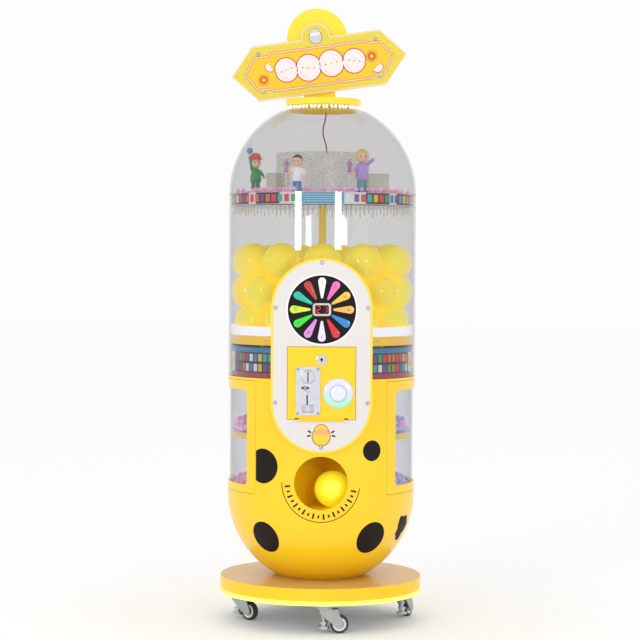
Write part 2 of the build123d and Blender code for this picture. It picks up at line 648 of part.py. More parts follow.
RING_OUTER_R = ACRYLIC_INNER_R - FIT
with BuildPart() as inset_band:
    with BuildSketch(Plane.XY.offset(BAND_Z[0])):
        Circle(RING_OUTER_R)
        Circle(BAND_INNER_R - 7, mode=Mode.SUBTRACT)
    extrude(amount=FLOOR_BOTTOM_Z - BAND_Z[0])
    with BuildSketch(Plane.XY.offset(FLOOR_BOTTOM_Z)):
        Circle(RING_OUTER_R)
        Circle(BAND_INNER_R, mode=Mode.SUBTRACT)
    extrude(amount=BAND_Z[1] - FLOOR_BOTTOM_Z)
save(inset_band, "inset_band")

with BuildPart() as light_rim:
    with BuildSketch(Plane.XY.offset(BAND_Z[1])):
        Circle(RING_OUTER_R)
        Circle(BAND_INNER_R, mode=Mode.SUBTRACT)
    extrude(amount=LIGHT_RIM_TOP_Z - BAND_Z[1])
save(light_rim, "light_rim")

with BuildPart() as centre_pole:
    with BuildSketch(Plane.XY.offset(SHELL_TOP_Z)):
        Circle(POLE_R)
    extrude(amount=TRAY_Z - SHELL_TOP_Z)
save(centre_pole, "centre_pole")

# ---- Rotor and its drive ------------------------------------------------------------
with BuildPart() as star_rotor:
    with BuildSketch(Plane.XY.offset(GEAR_Z)):
        with BuildLine():
            Polyline(involute_gear(GEAR_MODULE, GEAR_TEETH), close=True)
        make_face()
    extrude(amount=GEAR_THICK)
    with BuildSketch(Plane.XY.offset(GEAR_Z + GEAR_THICK)):
        Circle(SHAFT_R)
    extrude(amount=BIN_FLOOR_Z - GEAR_Z)
    with BuildSketch(Plane.XY.offset(BIN_FLOOR_Z + FIT)):
        Circle(ROTOR_HUB_R)
    extrude(amount=ROTOR_TOP_Z - BIN_FLOOR_Z - FIT)
    fillet(star_rotor.edges().group_by(Axis.Z)[-1], radius=12)
    with BuildSketch(Plane.XY.offset(BIN_FLOOR_Z + FIT)):
        with PolarLocations((ROTOR_HUB_R + PADDLE_R) / 2 - 6, PADDLES):
            RectangleRounded(PADDLE_R - ROTOR_HUB_R + 12, PADDLE_THICK, PADDLE_THICK / 2 - 0.1)
    extrude(amount=PADDLE_TOP_Z - BIN_FLOOR_Z - FIT)
    with BuildSketch(Plane.XY.offset(GEAR_Z - 1)):
        Circle(POLE_R + RUNNING)
    extrude(amount=ROTOR_TOP_Z - GEAR_Z + 2, mode=Mode.SUBTRACT)
save(star_rotor, "star_rotor")

# half a tooth of turn puts a space of the pinion opposite a tooth of the gear
pinion_turn = -90 + 180 / PINION_TEETH
pinion_plane = Plane(origin=(0, PINION_Y, GEAR_Z), z_dir=(0, 0, 1),
                     x_dir=(cos(radians(pinion_turn)), sin(radians(pinion_turn)), 0))
with BuildPart() as drive_pinion:
    with BuildSketch(pinion_plane):
        with BuildLine():
            Polyline(involute_gear(GEAR_MODULE, PINION_TEETH), close=True)
        make_face()
    extrude(amount=GEAR_THICK)
    with BuildSketch(pinion_plane.offset(MOTOR_TOP_Z - 20 - GEAR_Z)):
        Circle(MOTOR_SHAFT_R)
    extrude(amount=GEAR_Z - MOTOR_TOP_Z + 20)
save(drive_pinion, "drive_pinion")

with BuildPart() as gearmotor:
    with BuildSketch(Plane.XY.offset(SHELL_TOP_Z)):
        with Locations((0, PINION_Y)):
            RectangleRounded(2 * MOTOR_R + MOTOR_FLANGE_MORE, 2 * MOTOR_R + MOTOR_FLANGE_MORE, 8)
    extrude(amount=MOTOR_FLANGE_THICK)
    with BuildSketch(Plane.XY.offset(SHELL_TOP_Z + MOTOR_FLANGE_THICK)):
        with Locations((0, PINION_Y)):
            Circle(MOTOR_R)
    extrude(amount=MOTOR_TOP_Z - SHELL_TOP_Z - MOTOR_FLANGE_THICK)
    with BuildSketch(Plane.XY.offset(MOTOR_TOP_Z - 20)):
        with Locations((0, PINION_Y)):
            Circle(MOTOR_SHAFT_R + RUNNING)
    extrude(amount=21, mode=Mode.SUBTRACT)
save(gearmotor, "gearmotor")

# ---- Clear cylinder and dome --------------------------------------------------------
with BuildPart() as clear_cylinder:
    with BuildSketch(Plane.XY.offset(SHELL_TOP_Z)):
        Circle(BODY_R)
        Circle(ACRYLIC_INNER_R, mode=Mode.SUBTRACT)
    extrude(amount=CYLINDER_TOP_Z - SHELL_TOP_Z)
    with BuildSketch(front(BODY_R - 60)):
        with Locations((0, (SHELL_TOP_Z + SERVICE_OPENING[2]) / 2 - 5)):
            Rectangle(SERVICE_OPENING[0], SERVICE_OPENING[2] - SHELL_TOP_Z + 10)
    extrude(amount=80, mode=Mode.SUBTRACT)
save(clear_cylinder, "clear_cylinder")

with BuildPart() as clear_dome:
    with BuildSketch(Plane.XZ):
        with BuildLine():
            outer_rise = degrees(acos(DOME_HOLE_R / BODY_R))
            inner_rise = degrees(acos(DOME_HOLE_R / ACRYLIC_INNER_R))
            outer_arc = CenterArc((0, CYLINDER_TOP_Z), BODY_R, 0, outer_rise)
            inner_arc = CenterArc((0, CYLINDER_TOP_Z), ACRYLIC_INNER_R, 0, inner_rise)
            Line(outer_arc @ 1, inner_arc @ 1)
            Line(inner_arc @ 0, outer_arc @ 0)
        make_face()
    revolve(axis=Axis.Z)
save(clear_dome, "clear_dome")

# ---- Capsules -----------------------------------------------------------------------
OUTER_STEP = 360 / OUTER_RING_COUNT
INNER_STEP = 360 / INNER_RING_COUNT
INNER_START = 10.0


def layer_rise(below_r, above_r, step):
    """Height between two rings of balls when each ball rests on two of the ring below."""
    across = below_r ** 2 + above_r ** 2 - 2 * below_r * above_r * cos(radians(step / 2))
    return sqrt((2 * CAPSULE_R + CAPSULE_GAP) ** 2 - across)


# rings are (height, ring radius, count, first azimuth); each layer is turned half a step
first_r = BAND_INNER_R - CAPSULE_R
wall_r = ACRYLIC_INNER_R - CAPSULE_R - CAPSULE_GAP
first_z = BIN_FLOOR_Z + CAPSULE_R
second_z = first_z + layer_rise(first_r, wall_r, OUTER_STEP)
third_z = second_z + layer_rise(wall_r, wall_r, OUTER_STEP)
inner_z = PADDLE_TOP_Z + CAPSULE_R + CAPSULE_GAP
upper_z = inner_z + layer_rise(INNER_RING_R, INNER_RING_R, INNER_STEP)
capsule_rings = [(first_z, first_r, OUTER_RING_COUNT, 0.0),
                 (second_z, wall_r, OUTER_RING_COUNT, OUTER_STEP / 2),
                 (third_z, wall_r, OUTER_RING_COUNT, 0.0),
                 (inner_z, INNER_RING_R, INNER_RING_COUNT, INNER_START),
                 (upper_z, INNER_RING_R, INNER_RING_COUNT, INNER_START + INNER_STEP / 2)]
capsule_spots = []
for ring_z, ring_r, count, start in capsule_rings:
    for i in range(count):
        spot = polar(start + 360 * i / count, ring_r) + (ring_z,)
        near = [other for other in capsule_spots
                if hypot(spot[0] - other[0], spot[1] - other[1], spot[2] - other[2]) < 2 * CAPSULE_R + CAPSULE_GAP / 2]
        if not near:
            capsule_spots.append(spot)

with BuildPart() as capsules:
    with Locations(capsule_spots):
        Sphere(CAPSULE_R)
    with Locations(capsule_spots):
        Sphere(CAPSULE_R - CAPSULE_WALL, mode=Mode.SUBTRACT)
save(capsules, "capsules")

# ---- Display tray, drum, cap, wire --------------------------------------------------
with BuildPart() as display_tray:
    with BuildSketch(Plane.XY.offset(TRAY_Z)):
        Circle(TRAY_BAND_INNER_R - FIT)
    extrude(amount=TRAY_THICK)
save(display_tray, "display_tray")

with BuildPart() as tray_band:
    with BuildSketch(Plane.XY.offset(TRAY_BAND_Z[0])):
        Circle(RING_OUTER_R)
        Circle(TRAY_BAND_INNER_R, mode=Mode.SUBTRACT)
    extrude(amount=TRAY_BAND_Z[1] - TRAY_BAND_Z[0])
save(tray_band, "tray_band")

# points of the hanging wire, from the cap's gland down to the drum's gland
WIRE_TOP = (8.0, 0.0, CAP_Z[0] - CAP_GLAND_LONG)
WIRE_FOOT = (10.0, 0.0, DRUM_TOP_Z + GLAND_LONG)
wire_points = [WIRE_TOP, (8.0, 0.0, 1400.0), (2.0, -2.0, 1381.0), (-1.0, -3.0, 1360.0),
               (3.0, -2.0, 1340.0), (10.0, 0.0, 1322.0), WIRE_FOOT]
wire_radii = []
for before, here, after in zip(wire_points, wire_points[1:], wire_points[2:]):
    run_in = Vector(*here) - Vector(*before)
    run_out = Vector(*after) - Vector(*here)
    turn = radians(run_in.get_angle(run_out))
    wire_radii.append(0.45 * min(run_in.length, run_out.length) / tan(turn / 2))
print("wire bend radii:", [round(r, 1) for r in wire_radii])

with BuildPart() as sign_wire:
    with BuildLine() as wire_line:
        FilletPolyline(*wire_points, radius=wire_radii)
    with BuildSketch(Plane(origin=wire_line.wire() @ 0, z_dir=wire_line.wire() % 0)):
        Circle(WIRE_R)
    sweep()
wire_section = pi * WIRE_R ** 2
print("wire length:", round(wire_line.wire().length, 1),
      "volume / (section x length):", round(sign_wire.part.volume / (wire_section * wire_line.wire().length), 4))
save(sign_wire, "sign_wire")

with BuildPart() as tray_drum:
    with BuildSketch(Plane.XY.offset(TRAY_Z + TRAY_THICK)):
        Circle(DRUM_R)
    extrude(amount=DRUM_TOP_Z - TRAY_Z - TRAY_THICK)
    with BuildSketch(Plane.XY.offset(TRAY_Z + TRAY_THICK)):
        Circle(DRUM_R - DRUM_WALL)
    extrude(amount=DRUM_TOP_Z - TRAY_Z - TRAY_THICK - DRUM_WALL, mode=Mode.SUBTRACT)
    with BuildSketch(Plane.XY.offset(DRUM_TOP_Z)):
        with Locations(WIRE_FOOT[:2]):
            Circle(GLAND_R)
    extrude(amount=GLAND_LONG)
save(tray_drum, "tray_drum")

with BuildPart() as top_cap:
    with BuildSketch(Plane.XY.offset(CAP_Z[0])):
        Circle(CAP_R)
    extrude(amount=CAP_Z[1] - CAP_Z[0])
    fillet(top_cap.edges().group_by(Axis.Z)[-1], radius=2)
    with BuildSketch(Plane.XY.offset(CAP_SKIRT_Z)):
        Circle(DOME_HOLE_R - FIT)
        Circle(DOME_HOLE_R - FIT - 4, mode=Mode.SUBTRACT)
    extrude(amount=CAP_Z[0] - CAP_SKIRT_Z)
    with BuildSketch(Plane.XY.offset(WIRE_TOP[2])):
        with Locations(WIRE_TOP[:2]):
            Circle(GLAND_R)
    extrude(amount=CAP_Z[0] - WIRE_TOP[2])
save(top_cap, "top_cap")

# ---- Sign ---------------------------------------------------------------------------
STAND_Y = STAND_THICK / 2
BOARD_FRONT = STAND_Y + SIGN_THICK
FACE_FRONT = BOARD_FRONT + SIGN_FACE_THICK
sign_screws = [(dx, dz) for dx in (-SIGN_FLAT / 2 + 14, SIGN_FLAT / 2 - 14) for dz in (-52, 52)]


def sign_plane(distance):
    """Plane at a distance in front of the axis, centred on the sign and tilted with it."""
    tilt = radians(SIGN_TILT)
    return Plane(origin=(SIGN_CENTRE[0], -distance, SIGN_CENTRE[1]),
                 x_dir=(cos(tilt), 0, sin(tilt)), z_dir=(0, -1, 0))


def sign_outline(inset):
    """Six-sided sign with a half-round bump on its top edge, drawn smaller by inset."""
    half_flat, half_long, half_high = SIGN_FLAT / 2, SIGN_LONG / 2 - inset, SIGN_HIGH / 2 - inset
    Polygon((-half_long, 0), (-half_flat, half_high), (half_flat, half_high), (half_long, 0),
            (half_flat, -half_high), (-half_flat, -half_high), align=None)
    with Locations((0, SIGN_HIGH / 2)):
        Circle(SIGN_BUMP_R - inset)


with BuildPart() as sign_stand:
    with BuildSketch(front(-STAND_Y)):
        with Locations(STAND_HEAD):
            Circle(STAND_HEAD_R)
        with BuildLine():
            neck = STAND_NECK_WIDTH / 2
            Polyline([(STAND_HEAD[0] - neck + STAND_TAPER, STAND_HEAD[1]),
                      (STAND_HEAD[0] + neck - STAND_TAPER, STAND_HEAD[1]),
                      (STAND_HEAD[0] / 2 + neck, CAP_Z[1]), (STAND_HEAD[0] / 2 - neck, CAP_Z[1])], close=True)
        make_face()
    extrude(amount=STAND_THICK)
save(sign_stand, "sign_stand")

with BuildPart() as sign_board:
    with BuildSketch(sign_plane(STAND_Y)):
        sign_outline(0)
    extrude(amount=SIGN_THICK)
    with BuildSketch(sign_plane(STAND_Y - 1)):
        with Locations(sign_screws):
            Circle(SCREW_R + RUNNING)
    extrude(amount=SIGN_THICK + 2, mode=Mode.SUBTRACT)
save(sign_board, "sign_board")

with BuildPart() as sign_face:
    with BuildSketch(sign_plane(BOARD_FRONT)):
        sign_outline(SIGN_RIM)
    extrude(amount=SIGN_FACE_THICK)
    with BuildSketch(sign_plane(BOARD_FRONT - 1)):
        with Locations(sign_screws):
            Circle(SCREW_R + RUNNING)
    extrude(amount=SIGN_FACE_THICK + 2, mode=Mode.SUBTRACT)
save(sign_face, "sign_face")

# ---- Front pod ----------------------------------------------------------------------
POD_MID_Z = (POD_Z[0] + POD_Z[1]) / 2
POD_HIGH = POD_Z[1] - POD_Z[0]


def pill(inset):
    """Upright pill outline of the pod, drawn smaller by inset."""
    with Locations((0, POD_MID_Z)):
        SlotOverall(POD_HIGH - 2 * inset, POD_WIDTH - 2 * inset, rotation=90)


with BuildPart() as front_housing:
    with BuildSketch(front(BODY_R - 60)):
        pill(0)
    extrude(amount=POD_FRONT - BODY_R + 60)
    fillet(front_housing.edges().group_by(Axis.Y)[0], radius=2)
    with BuildSketch(front(PANEL_BACK)):
        pill(POD_RIM)
    extrude(amount=PANEL_THICK + 5, mode=Mode.SUBTRACT)
    with BuildSketch(front(BODY_R - 65)):
        pill(POD_RIM + POD_LEDGE)
    extrude(amount=100, mode=Mode.SUBTRACT)
    with BuildSketch(Plane.XY.offset(POD_Z[0] - 10)):
        Circle(BODY_R + FIT / 2)
    extrude(amount=POD_HIGH + 20, mode=Mode.SUBTRACT)
    with BuildSketch(front(BODY_R - 10)):
        with Locations(PANEL_SCREWS):
            Circle(SCREW_R + RUNNING)
    extrude(amount=30, mode=Mode.SUBTRACT)
save(front_housing, "front_housing")

SERVICE_MID_Z = SERVICE_Z + SERVICE_SIZE[1] / 2
HINGE_Y = DOOR_FRONT + 0.5                      # distance of the service hinge's axis
HINGE_Z = SERVICE_Z - 2
side_plane = Plane.YZ                           # x is Y, y is Z, normal is +X

with BuildPart() as front_panel:
    with BuildSketch(front(PANEL_BACK)):
        pill(POD_RIM + FIT)
        with Locations((0, ROULETTE_Z)):
            Circle(ROULETTE_R + FIT, mode=Mode.SUBTRACT)
        with Locations((0, SERVICE_MID_Z)):
            Rectangle(SERVICE_SIZE[0] + 2 * DOOR_GAP, SERVICE_SIZE[1] + 2 * DOOR_GAP, mode=Mode.SUBTRACT)
        with Locations(PANEL_SCREWS):
            Circle(SCREW_R + RUNNING, mode=Mode.SUBTRACT)
    extrude(amount=PANEL_THICK)
    for lug_x in SERVICE_LUGS_X:
        with BuildSketch(side_plane.offset(lug_x - SERVICE_LUG_LONG / 2)):
            with Locations((-(HINGE_Y + SERVICE_BARREL_R + POD_FRONT) / 2, HINGE_Z - 0.7)):
                Rectangle(HINGE_Y + SERVICE_BARREL_R - POD_FRONT, 2 * SERVICE_BARREL_R - 1.4)
        extrude(amount=SERVICE_LUG_LONG)
    with BuildSketch(side_plane.offset(SERVICE_LUGS_X[0])):
        with Locations((-HINGE_Y, HINGE_Z)):
            Circle(SERVICE_PIN_R)
    extrude(amount=SERVICE_LUGS_X[1] - SERVICE_LUGS_X[0])
save(front_panel, "front_panel")

with BuildPart() as roulette_board:
    with BuildSketch(front(PANEL_BACK - ROULETTE_BACK)):
        with Locations((0, ROULETTE_Z)):
            Circle(ROULETTE_R + ROULETTE_FLANGE)
    extrude(amount=ROULETTE_BACK)
    with BuildSketch(front(PANEL_BACK)):
        with Locations((0, ROULETTE_Z)):
            Circle(ROULETTE_R)
    extrude(amount=PANEL_THICK + ROULETTE_PROUD)
    with BuildSketch(front(PANEL_BACK - 5)):
        with Locations((0, ROULETTE_Z)):
            Rectangle(DISPLAY_SIZE[0] - 2 * DISPLAY_LIP, DISPLAY_SIZE[1] - 2 * DISPLAY_LIP)
    extrude(amount=20, mode=Mode.SUBTRACT)
save(roulette_board, "roulette_board")

BOARD_FACE = POD_FRONT + ROULETTE_PROUD
with BuildPart() as display_module:
    with BuildSketch(front(PANEL_BACK - 2.5)):
        with Locations((0, ROULETTE_Z)):
            Rectangle(DISPLAY_SIZE[0] - 2 * DISPLAY_LIP - FIT, DISPLAY_SIZE[1] - 2 * DISPLAY_LIP - FIT)
    extrude(amount=BOARD_FACE - PANEL_BACK + 2.5)
    with BuildSketch(front(BOARD_FACE)):
        with Locations((0, ROULETTE_Z)):
            RectangleRounded(*DISPLAY_SIZE, 8)
    extrude(amount=DISPLAY_PROUD)
    with BuildSketch(front(BOARD_FACE + DISPLAY_PROUD - 1.5)):
        with Locations((0, ROULETTE_Z)):
            RectangleRounded(DISPLAY_SIZE[0] - 12, DISPLAY_SIZE[1] - 10, 4)
    extrude(amount=3, mode=Mode.SUBTRACT)
save(display_module, "display_module")

# ---- Service door and what it carries -----------------------------------------------
with BuildPart() as service_door:
    with BuildSketch(front(DOOR_BACK)):
        with Locations((0, SERVICE_MID_Z)):
            RectangleRounded(*SERVICE_SIZE, 2)
    extrude(amount=SERVICE_THICK)
    with BuildSketch(front(DOOR_BACK - BUTTON_TUBE_LONG)):
        with Locations(BUTTON_AT):
            Circle(BUTTON_R + BUTTON_TUBE_WALL)
    extrude(amount=BUTTON_TUBE_LONG)
    with BuildSketch(front(DOOR_FRONT)):
        with Locations(BUTTON_AT):
            Circle(BEZEL_R)
    extrude(amount=BEZEL_THICK, taper=30)
    with BuildSketch(side_plane.offset(-60)):
        with Locations((-HINGE_Y, HINGE_Z)):
            Circle(SERVICE_BARREL_R)
    extrude(amount=120)
    with BuildSketch(side_plane.offset(-61)):
        with Locations((-HINGE_Y, HINGE_Z)):
            Circle(SERVICE_PIN_R + RUNNING)
    extrude(amount=122, mode=Mode.SUBTRACT)
    with BuildSketch(front(DOOR_BACK - BUTTON_TUBE_LONG + 3)):
        with Locations(BUTTON_AT):
            Circle(BUTTON_R + RUNNING)
    extrude(amount=60, mode=Mode.SUBTRACT)
    with BuildSketch(front(DOOR_BACK - 1)):
        for lug_x in SERVICE_LUGS_X:
            with Locations((lug_x, SERVICE_Z)):
                Rectangle(SERVICE_LUG_LONG + 2, 2 * SERVICE_BARREL_R + 1)
    extrude(amount=SERVICE_THICK + 2, mode=Mode.SUBTRACT)
    with BuildSketch(front(DOOR_BACK - 1)):
        with Locations(COIN_AT):
            Rectangle(COIN_BODY[0] + FIT, COIN_BODY[1] + FIT)
        with Locations((0, LOCK_Z)):
            Circle(LOCK_R + RUNNING)
    extrude(amount=SERVICE_THICK + 4, mode=Mode.SUBTRACT)
save(service_door, "service_door")

COIN_BACK = DOOR_FRONT - COIN_DEPTH
PLATE_FRONT = DOOR_FRONT + COIN_PLATE_THICK
with BuildPart() as coin_acceptor:
    with BuildSketch(front(COIN_BACK)):
        with Locations(COIN_AT):
            Rectangle(*COIN_BODY)
    extrude(amount=COIN_DEPTH)
    with BuildSketch(front(DOOR_FRONT)):
        with Locations(COIN_AT):
            RectangleRounded(*COIN_PLATE, 7)
    extrude(amount=COIN_PLATE_THICK)
    with BuildSketch(front(PLATE_FRONT - 16)):
        with Locations((COIN_AT[0], REJECT_Z)):
            Circle(REJECT_R + RUNNING)
    extrude(amount=20, mode=Mode.SUBTRACT)
    with BuildSketch(front(COIN_BACK + 8)):
        with Locations((COIN_AT[0], REJECT_Z)):
            Rectangle(COIN_SLOT[0] + 1.5, COIN_SLOT[1])
    extrude(amount=COIN_DEPTH, mode=Mode.SUBTRACT)
    with BuildSketch(front(PLATE_FRONT - CUP_DEPTH)):
        with Locations((COIN_AT[0], CUP_Z)):
            Rectangle(*CUP)
    extrude(amount=CUP_DEPTH + 2, mode=Mode.SUBTRACT)
    with BuildSketch(front(PLATE_FRONT - 1.5)):
        with Locations((COIN_AT[0] - 2, CUP_Z + CUP[1] / 2 + 13)):
            Rectangle(COIN_SLOT[0], 26)
    extrude(amount=4, mode=Mode.SUBTRACT)
save(coin_acceptor, "coin_acceptor")

with BuildPart() as coin_reject:
    with BuildSketch(front(PLATE_FRONT - 11)):
        with Locations((COIN_AT[0], REJECT_Z)):
            Circle(REJECT_R)
    extrude(amount=17)
    fillet(coin_reject.edges().group_by(Axis.Y)[0], radius=2)
    with BuildSketch(front(PLATE_FRONT - 12)):
        with Locations((COIN_AT[0], REJECT_Z)):
            Rectangle(*COIN_SLOT)
    extrude(amount=20, mode=Mode.SUBTRACT)
save(coin_reject, "coin_reject")

FLAP_TOP_Z = CUP_Z + CUP[1] / 2 - 1.2
with BuildPart() as coin_flap:
    with BuildSketch(front(DOOR_FRONT)):
        with Locations((COIN_AT[0], FLAP_TOP_Z - (CUP[1] - 3) / 2)):
            Rectangle(CUP[0] - 1.5, CUP[1] - 3)
    extrude(amount=1.5)
    with BuildSketch(side_plane.offset(COIN_AT[0] - CUP[0] / 2 + FIT)):
        with Locations((-DOOR_FRONT - 0.75, FLAP_TOP_Z)):
            Circle(0.75)
    extrude(amount=CUP[0] - 2 * FIT)
save(coin_flap, "coin_flap")

with BuildPart() as push_button:
    with BuildSketch(front(DOOR_BACK - 15)):
        with Locations(BUTTON_AT):
            Circle(BUTTON_R)
    extrude(amount=DOOR_FRONT + BEZEL_THICK + 5 - DOOR_BACK + 15)
    fillet(push_button.edges().group_by(Axis.Y)[0], radius=4.5)
save(push_button, "push_button")

with BuildPart() as lock_plug:
    with BuildSketch(front(PANEL_BACK - 14)):
        with Locations((0, LOCK_Z)):
            Circle(LOCK_R)
    extrude(amount=DOOR_FRONT - PANEL_BACK + 14)
    with BuildSketch(front(DOOR_FRONT)):
        with Locations((0, LOCK_Z)):
            Circle(LOCK_HEAD_R)
    extrude(amount=3)
    with BuildSketch(front(PANEL_BACK - 3 - CAM_THICK)):
        with Locations((CAM_LONG / 2 - CAM_WIDE / 2, LOCK_Z)):
            RectangleRounded(CAM_LONG, CAM_WIDE, 4)
    extrude(amount=CAM_THICK)
save(lock_plug, "lock_plug")

# ---- Screws, inlet, electronics and cash box ----------------------------------------
with BuildPart() as cover_screws:
    with BuildSketch(front(POD_FRONT)):
        with Locations(PANEL_SCREWS):
            Circle(SCREW_HEAD_R)
    extrude(amount=SCREW_HEAD)
    with BuildSketch(front(POD_FRONT - 7)):
        with Locations(PANEL_SCREWS):
            Circle(SCREW_R)
    extrude(amount=7)
    with BuildSketch(sign_plane(FACE_FRONT)):
        with Locations(sign_screws):
            Circle(SCREW_HEAD_R)
    extrude(amount=SCREW_HEAD)
    with BuildSketch(sign_plane(STAND_Y + 2)):
        with Locations(sign_screws):
            Circle(SCREW_R)
    extrude(amount=FACE_FRONT - STAND_Y - 2)
save(cover_screws, "cover_screws")

with BuildPart() as power_inlet:
    with BuildSketch(front(-BODY_R - FIT)):
        with Locations((0, INLET_Z)):
            RectangleRounded(*INLET_SIZE, 3)
    extrude(amount=-3)
    with BuildSketch(front(-BODY_R + 35)):
        with Locations((0, INLET_Z)):
            Rectangle(INLET_SIZE[0] - 8 - 2 * FIT, INLET_SIZE[1] - 8 - 2 * FIT)
    extrude(amount=-35 - FIT)
    with BuildSketch(front(-BODY_R + 13)):
        with Locations((0, INLET_Z)):
            Rectangle(25, 15)
    extrude(amount=-20, mode=Mode.SUBTRACT)
save(power_inlet, "power_inlet")

with BuildPart() as electronics:
    with BuildSketch(Plane.XY.offset(FLAT_Z + SHELL_WALL)):
        with Locations((0, 30)):
            Rectangle(160, 90)
    extrude(amount=45)
    board_plane = Plane.YZ.offset(-CASE_INNER_X)
    with BuildSketch(board_plane):
        with Locations((70, 560)):
            with GridLocations(120, 140, 2, 2):
                Circle(4)
    extrude(amount=6)
    with BuildSketch(board_plane.offset(6)):
        with Locations((70, 560)):
            Rectangle(140, 160)
    extrude(amount=2)
    with BuildSketch(board_plane.offset(8)):
        with Locations((70, 560)):
            with GridLocations(50, 60, 2, 2):
                Rectangle(26, 30)
    extrude(amount=9)
save(electronics, "electronics")

CASH_X = (-CASE_INNER_X + 2, CHUTE_X - CHUTE_BORE_R - CHUTE_WALL - 3.5)
CASH_Y = (-225.0, -110.0)
with BuildPart() as cash_box:
    with BuildSketch(Plane.XY.offset(OUTLET_BOX_TOP_Z)):
        with Locations((sum(CASH_X) / 2, sum(CASH_Y) / 2)):
            Rectangle(CASH_X[1] - CASH_X[0], CASH_Y[1] - CASH_Y[0])
    extrude(amount=86)
    with BuildSketch(Plane.XY.offset(OUTLET_BOX_TOP_Z + 1.5)):
        with Locations((sum(CASH_X) / 2, sum(CASH_Y) / 2)):
            Rectangle(CASH_X[1] - CASH_X[0] - 3, CASH_Y[1] - CASH_Y[0] - 3)
    extrude(amount=90, mode=Mode.SUBTRACT)
save(cash_box, "cash_box")

print("nodes written:", len([name for name in os.listdir("parts") if name.endswith(".step")]))
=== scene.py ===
# %% [markdown]
# # A capsule toy vendor
# The machine is a round steel body with a clear bin and dome full of yellow capsules.
# The drawing gives every part its place, so this lesson starts by loading that model. It keeps
# the origin on the floor, and adds finishes and small pieces around the parts.

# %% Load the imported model
import random
from math import asin, atan2, cos, pi, radians, sin, sqrt

import bmesh
import bpy
from mathutils import Matrix, Vector


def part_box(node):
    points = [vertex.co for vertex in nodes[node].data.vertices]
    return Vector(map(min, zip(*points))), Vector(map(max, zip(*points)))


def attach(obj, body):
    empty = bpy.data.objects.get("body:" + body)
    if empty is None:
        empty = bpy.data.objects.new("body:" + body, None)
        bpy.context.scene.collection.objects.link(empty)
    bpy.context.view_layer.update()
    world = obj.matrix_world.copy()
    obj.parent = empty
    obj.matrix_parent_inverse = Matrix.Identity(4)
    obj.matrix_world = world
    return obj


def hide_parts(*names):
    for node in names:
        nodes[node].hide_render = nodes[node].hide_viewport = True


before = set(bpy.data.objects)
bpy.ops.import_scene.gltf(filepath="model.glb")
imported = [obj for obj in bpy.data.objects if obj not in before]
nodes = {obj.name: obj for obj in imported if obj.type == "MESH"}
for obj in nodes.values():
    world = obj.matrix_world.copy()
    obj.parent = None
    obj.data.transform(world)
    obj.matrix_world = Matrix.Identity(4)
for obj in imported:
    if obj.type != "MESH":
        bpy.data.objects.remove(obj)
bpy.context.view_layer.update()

# %% [markdown]
# ## Measures
# Blender works in metres and the drawing in millimetres. New pieces are drawn in millimetres,
# because a screw head of 4.5 is easier to picture than 0.0045, and are scaled once at the end.
# Places are measured from the parts, so a changed part moves its decoration too.

# %% Measure the parts
MM = 0.001


def low(node):
    """Lowest corner of a part, in millimetres."""
    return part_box(node)[0] / MM


def high(node):
    """Highest corner of a part, in millimetres."""
    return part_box(node)[1] / MM


BODY_R = high("clear_cylinder").x
SPHERE_Z = 356.0                        # centre height of the round bottom
DOOR_Y = low("coin_acceptor").y + 2.5   # the coin plate is 2.5 thick
PANEL_Y = DOOR_Y + 3.0                  # the service door stands 3 proud of the panel
BOARD_Y = PANEL_Y - 1.5                 # and the roulette board 1.5
SIGN_Y = low("sign_face").y
ROULETTE_Z = (low("roulette_board").z + high("roulette_board").z) / 2
DISC_TOP_Z = high("base_disc").z
TRAY_TOP_Z = high("display_tray").z
FILM_R = BODY_R - 5.2                   # just inside the 5 mm acrylic
print("body radius", round(BODY_R, 1), "panel y", round(PANEL_Y, 1), "roulette z", round(ROULETTE_Z, 1))

# %% [markdown]
# ## Camera
# The machine is seen from a little above half its height with a long lens far away, which
# keeps its sides upright and flattens it as a catalogue picture does.

# %% Camera
camera = bpy.data.objects.new("camera", bpy.data.cameras.new("camera"))
bpy.context.collection.objects.link(camera)
camera.data.lens = 111.9
camera.data.sensor_width = 36.0
camera.data.clip_end = 60.0
CAMERA_PLACE = Vector((0.0, -5.56, 0.979))
pan = Matrix.Rotation(radians(0.055), 4, "Z")
tilt_down = Matrix.Rotation(radians(90 - 1.47), 4, "X")
roll = Matrix.Rotation(radians(0.36), 4, "Z")
camera.matrix_world = Matrix.Translation(CAMERA_PLACE) @ pan @ tilt_down @ roll
bpy.context.scene.camera = camera

# %% [markdown]
# ## The sign's wire
# A thin sleeved wire hangs inside the dome, from a gland in the cap to a gland on the drum. It
# could be a swept mesh, but a NURBS curve with a round bevel stays smooth at any zoom. The
# first and last runs are upright, as a gland holds them.

# %% Sign wire
WIRE_R = 2.0
wire_route = [(8, 0, 1418), (8, 0, 1400), (2, -2, 1381), (-1, -3, 1360), (3, -2, 1340), (10, 0, 1322),
              (10, 0, 1306)]
wire_line = bpy.data.curves.new("hanging_sign_wire", "CURVE")
wire_line.dimensions = "3D"
wire_line.bevel_depth = 1.0      # times each point's radius, which keeps the box of the curve tight
wire_line.bevel_resolution = 4
wire_line.use_fill_caps = True
run = wire_line.splines.new("NURBS")
run.points.add(len(wire_route) - 1)
for point, place in zip(run.points, wire_route):
    point.co = (*(Vector(place) * MM), 1.0)
    point.radius = WIRE_R * MM
run.order_u = 3
run.use_endpoint_u = True
sign_wire = bpy.data.objects.new("hanging_sign_wire", wire_line)
bpy.context.collection.objects.link(sign_wire)
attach(sign_wire, "cabinet")
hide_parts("sign_wire")

# %% [markdown]
# ## Helpers for finishes
# Colours are sRGB hex values, the way a paint chart gives them, and one function turns them to
# the linear values that the renderer mixes. Another adds a node with its settings and links,
# which keeps each recipe short enough to read from top to bottom.

# %% Helpers for finishes
MIX_A, MIX_B, MIX_OUT = 6, 7, 2   # the colour sockets of a Mix node


